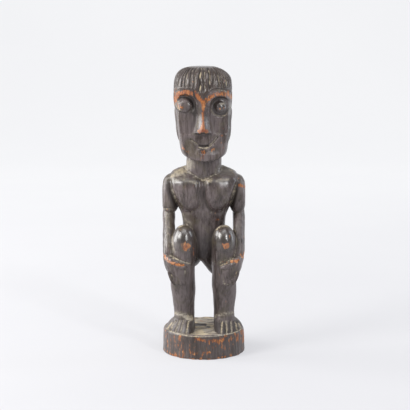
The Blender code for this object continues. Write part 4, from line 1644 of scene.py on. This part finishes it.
class Graph:
    """A material's node tree."""

    def __init__(self, name: str) -> None:
        """Starts an empty material of this name."""
        self.material = bpy.data.materials.new(name)
        self.material.use_nodes = True
        self.tree = self.material.node_tree
        self.tree.nodes.clear()

    def node(
        self, kind: str, settings: dict[str, object], inputs: dict[int | str, object], output: int | str = 0
    ) -> Value:
        """Adds a node.

        Args:
            kind: The node's type.
            settings: Its properties.
            inputs: What its sockets take: a Value is linked, and anything else is set on the socket.
            output: Which output to return.

        Returns:
            That output.
        """
        made = self.tree.nodes.new(kind)
        for name, value in settings.items():
            setattr(made, name, value)
        for key, value in inputs.items():
            if isinstance(value, Value):
                self.tree.links.new(value.socket, made.inputs[key])
            else:
                made.inputs[key].default_value = value
        return Value(self, made.outputs[output]) if len(made.outputs) else Value(self, made.inputs[0])

    def maths(self, operation: str, first: Value | float, second: Value | float) -> Value:
        """One step of arithmetic."""
        return self.node("ShaderNodeMath", {"operation": operation}, {0: first, 1: second})

    def attribute(self, name: str) -> Value:
        """A number stored on the mesh's points."""
        return self.node("ShaderNodeAttribute", {"attribute_name": name}, {}, "Fac")

    def place(self, stretch: tuple[float, float, float]) -> Value:
        """Object coordinates scaled along each axis."""
        place = self.node("ShaderNodeTexCoord", {}, {}, "Object")
        return self.node("ShaderNodeMapping", {}, {"Vector": place, "Scale": stretch})

    def noise(
        self, place: Value, scale: float, detail: float = 3.0, rough: float = 0.55, warp: float = 0.0
    ) -> Value:
        """Noise from 0 to 1, where scale is the number of blotches in a metre."""
        inputs = {"Vector": place, "Scale": scale, "Detail": detail, "Roughness": rough, "Distortion": warp}
        return self.node("ShaderNodeTexNoise", {}, inputs, "Fac")

    def blend(self, share: Value, first: object, second: object) -> Value:
        """A colour between two others: the first where share is 0, the second where it is 1."""
        inputs = {0: share, 6: first, 7: second}
        return self.node("ShaderNodeMix", {"data_type": "RGBA", "clamp_factor": True}, inputs, 2)

    def bump(self, strength: float, distance: float, height: Value) -> Value:
        """A normal tilted by a height."""
        inputs = {"Strength": strength, "Distance": distance, "Height": height}
        return self.node("ShaderNodeBump", {}, inputs, "Normal")

    def finish(self, shader: Value) -> bpy.types.Material:
        """Links the shader to the output and returns the material."""
        self.node("ShaderNodeOutputMaterial", {}, {"Surface": shader})
        return self.material


@dataclass(frozen=True)
class WoodFinish:
    """Colours, as linear red, green and blue, and gloss of the stained wood, with one near-black colour for
    painted shade.
    """

    stain: tuple[float, float, float, float] = (0.062, 0.046, 0.043, 1)
    stain_pale: tuple[float, float, float, float] = (0.142, 0.114, 0.113, 1)
    stain_dark: tuple[float, float, float, float] = (0.026, 0.019, 0.016, 1)
    hair: tuple[float, float, float, float] = (0.045, 0.032, 0.026, 1)
    painted_shade_colour: tuple[float, float, float, float] = (0.020, 0.015, 0.013, 1)
    olive: tuple[float, float, float, float] = (0.095, 0.080, 0.050, 1)
    dust: tuple[float, float, float, float] = (0.50, 0.42, 0.29, 1)
    dust_grey: tuple[float, float, float, float] = (0.36, 0.325, 0.27, 1)
    bare: tuple[float, float, float, float] = (0.34, 0.118, 0.030, 1)
    bare_red: tuple[float, float, float, float] = (0.17, 0.045, 0.017, 1)
    bare_pale: tuple[float, float, float, float] = (0.50, 0.24, 0.09, 1)

    def material(self) -> bpy.types.Material:
        """The stained wood, with dust where it gathers, orange wood where the stain has worn away, and
        painted shade where the dark mask lies.

        Returns:
            The material.
        """
        g = Graph("stained_wood")
        dust, wear, dark, hair, polish = (g.attribute(name) for name in MASKS)
        upright = g.place((1, 1, 0.16))
        plain = g.place((1, 1, 1))
        grain = g.noise(upright, 900, 4, 0.62)
        blotch = g.noise(g.place((1, 1, 0.5)), 60, 4, 0.55, 0.6)
        fine = g.noise(plain, 1300, 3, 0.6)
        speck = g.noise(plain, 420, 4, 0.62)
        fibre = g.noise(upright, 380, 5, 0.7, 0.4)

        streak = g.noise(g.place((1, 1, 0.10)), 620, 3, 0.6)
        base = g.blend((blotch * 0.45 + streak * 0.55).ramp(0.40, 0.62), self.stain, self.stain_pale)
        base = g.blend((fibre * 0.6 + blotch * 0.4).ramp(0.50, 0.38) * 0.8, base, self.stain_dark)
        base = g.blend(polish * 0.9, base, self.stain_dark)
        tint = g.noise(plain, 95, 3, 0.55, 0.8)
        base = g.blend((tint + dust * 0.5).ramp(0.50, 0.72) * 0.45, base, self.olive)
        base = g.blend(hair * grain.ramp(0.30, 0.55) * 0.9, base, self.hair)
        # Painted shade: the dark mask turns the wood nearly black in recesses, creases, low places and under
        # the shade marks.
        base = g.blend(dark.ramp(0.15, 0.95) * 0.85, base, self.painted_shade_colour)

        # Dust colour; on the marks that paint highlights it stands in for the sheen.
        powder = dust + (speck - 0.5) * 0.6 + (fibre - 0.5) * 0.5 + (fine - 0.5) * 0.3 - dark * 0.5
        powder = powder.ramp(0.26, 0.88)
        ash = g.blend(blotch.ramp(0.4, 0.6), self.dust, self.dust_grey)
        dusted = g.blend(powder * 0.86, base, ash)

        mottle = g.noise(g.place((1, 1, 0.6)), 330, 2, 0.55)
        worn = (wear + (fibre - 0.5) * 1.8 + (mottle - 0.5) * 1.6).ramp(0.42, 0.80)
        patch = (mottle * 0.6 + fibre * 0.4 + (worn - 0.9) * 0.15).ramp(0.42, 0.53)
        timber = g.blend(patch, self.bare_red, self.bare)
        timber = g.blend((speck * 0.5 + fibre * 0.5).ramp(0.53, 0.60), timber, self.bare_pale)
        timber = g.blend(streak.ramp(0.46, 0.38) * 0.8, timber, self.stain_dark)
        # On worn wood the dark mask, mostly painted shade, turns the orange to the darker red.
        timber = g.blend((wear.ramp(1.05, 1.22) + dark.ramp(0.1, 0.8) * 0.6) * 0.8, timber, self.bare_red)
        colour = g.blend(worn, dusted, timber)

        rough = 0.27 + (grain - 0.5) * 0.30 + (blotch - 0.5) * 0.25 + powder * 0.5 + dust * 0.25
        rough = rough + worn * 0.12 + dark * 0.4
        height = (grain * 0.5 + fibre * 0.35 + fine * 0.15) * (1 - polish * 0.8) - worn * 0.25
        bump = g.bump(0.35, 0.0004, height)
        inputs = {
            "Base Color": colour,
            "Roughness": rough,
            "Normal": bump,
            "IOR": 1.5,
            "Specular IOR Level": 0.5,
            "Coat Weight": polish * 0.9,
            "Coat Roughness": 0.30,
            "Coat IOR": 1.7,
        }
        return g.finish(g.node("ShaderNodeBsdfPrincipled", {}, inputs))


@dataclass(frozen=True)
class PaperFinish:
    """The pale, even backdrop paper."""

    colour: tuple[float, float, float, float] = (0.255, 0.255, 0.258, 1)
    shade: tuple[float, float, float, float] = (0.245, 0.245, 0.250, 1)
    glow_near: tuple[float, float, float, float] = (0.462, 0.463, 0.487, 1)
    glow_far: tuple[float, float, float, float] = (0.715, 0.720, 0.735, 1)

    def material(self) -> bpy.types.Material:
        """Backdrop paper with a faint unevenness.

        Returns:
            The material.
        """
        g = Graph("backdrop_paper")
        cloud = g.noise(g.place((1, 1, 1)), 3.0, 3)
        tooth = g.noise(g.place((1, 1, 1)), 900.0, 2)
        colour = g.blend(cloud.ramp(0.35, 0.65), self.colour, self.shade)
        place = g.node("ShaderNodeTexCoord", {}, {}, "Object")
        depth = g.node("ShaderNodeSeparateXYZ", {}, {0: place}, 1).ramp(-0.3, 1.6)
        bump = g.bump(0.05, 0.0002, tooth)
        inputs = {
            "Base Color": colour,
            "Roughness": 0.9,
            "Normal": bump,
            "Specular IOR Level": 0.2,
            "Emission Color": g.blend(depth, self.glow_near, self.glow_far),
            "Emission Strength": 1.0,
        }
        return g.finish(g.node("ShaderNodeBsdfPrincipled", {}, inputs))


# The studio


@dataclass(frozen=True)
class Lamp:
    """A rectangular soft light."""

    name: str
    place: tuple[float, float, float]
    size: tuple[float, float]
    watts: float
    colour: tuple[float, float, float]
    aim: tuple[float, float, float] = (0.0, 0.0, 0.16)

    def build(self) -> bpy.types.Object:
        """Makes the light, turned towards its aim.

        Returns:
            The light's object.
        """
        light = bpy.data.lights.new(self.name, "AREA")
        light.shape = "RECTANGLE"
        light.size, light.size_y = self.size
        light.energy = self.watts
        light.color = self.colour
        made = bpy.data.objects.new(self.name, light)
        made.location = self.place
        towards = Vector(self.aim) - Vector(self.place)
        made.rotation_euler = towards.to_track_quat("-Z", "Y").to_euler()
        bpy.context.scene.collection.objects.link(made)
        return made


class Set:
    """Floor, backdrop, lights and camera."""

    LAMPS = (
        Lamp("key", (-1.12, -0.70, 0.98), (0.60, 0.80), 19.0, (1.0, 0.985, 0.96)),
        Lamp("strip", (0.78, -1.12, 0.86), (0.12, 0.8), 9.0, (1.0, 1.0, 1.0)),
        Lamp("top", (0.05, -0.45, 1.60), (1.1, 0.8), 9.5, (1.0, 0.99, 0.98)),
        Lamp("left", (-1.30, 0.22, 0.50), (0.80, 1.1), 20.0, (1.0, 0.99, 0.98)),
        Lamp("rim", (1.25, 0.30, 0.55), (0.3, 1.1), 5.0, (0.86, 0.92, 1.0)),
    )

    def __init__(self, studio: Studio, paper: PaperFinish) -> None:
        """Keeps the camera's place and the backdrop's finish."""
        self.studio = studio
        self.paper = paper

    def build(self) -> None:
        """Makes everything round the object."""
        floor = self.backdrop()
        for lamp in self.LAMPS:
            lamp.build()
        self.world()
        self.camera()

    def backdrop(self) -> bpy.types.Object:
        """A sheet that lies flat and then sweeps up behind in a quarter circle.

        Its profile runs along y on the floor, round a quarter circle of radius 0.9 m, and straight up.

        Returns:
            The sheet.
        """
        front, bend, radius, wall = -3.2, 1.6, 0.9, 2.5
        turn = np.linspace(0, math.pi / 2, 24)
        flat = np.linspace(front, bend, 40)
        y = np.concatenate((flat, bend + radius * np.sin(turn[1:]), (wall, wall)))
        z = np.concatenate((np.zeros(len(flat)), radius * (1 - np.cos(turn[1:])), (2.0, 3.6)))
        x = np.linspace(-3.4, 3.4, 41)[:, None]
        grid = np.stack((x + 0 * y, y + 0 * x, z + 0 * x), axis=-1)
        rows, columns = grid.shape[:2]
        index = np.arange(rows * columns).reshape(rows, columns)
        corners = (index[:-1, :-1], index[1:, :-1], index[1:, 1:], index[:-1, 1:])
        quads = np.stack(corners, axis=-1).reshape(-1, 4)
        mesh = written_mesh("backdrop", grid.reshape(-1, 3) / METRES, [quads])
        mesh.materials.append(self.paper.material())
        made = bpy.data.objects.new("backdrop", mesh)
        bpy.context.scene.collection.objects.link(made)
        return made

    def world(self) -> None:
        """Even, slightly cool light from all round."""
        world = bpy.data.worlds.new("studio")
        world.use_nodes = True
        shade = world.node_tree.nodes["Background"]
        shade.inputs["Color"].default_value = (0.95, 0.965, 1.0, 1)
        shade.inputs["Strength"].default_value = 0.24
        bpy.context.scene.world = world

    def camera(self) -> None:
        """The camera at the photograph's angle."""
        studio = self.studio
        data = bpy.data.cameras.new("camera")
        data.lens = data.sensor_width * studio.focal_pixels / studio.picture_pixels
        data.shift_x = (studio.picture_pixels / 2 - studio.centre_pixel) / studio.picture_pixels
        made = bpy.data.objects.new("camera", data)
        made.location = (0.0, -studio.distance, studio.height)
        made.rotation_euler = (math.radians(90 - studio.tilt_degrees), 0.0, 0.0)
        bpy.context.scene.collection.objects.link(made)
        bpy.context.scene.camera = made
        bpy.context.scene.view_settings.view_transform = "Standard"


def main() -> None:
    """Builds the object and its studio."""
    studio = Studio()
    Carving(Wood(), studio).build(WoodFinish().material())
    Set(studio, PaperFinish()).build()


if __name__ == "__main__":
    main()
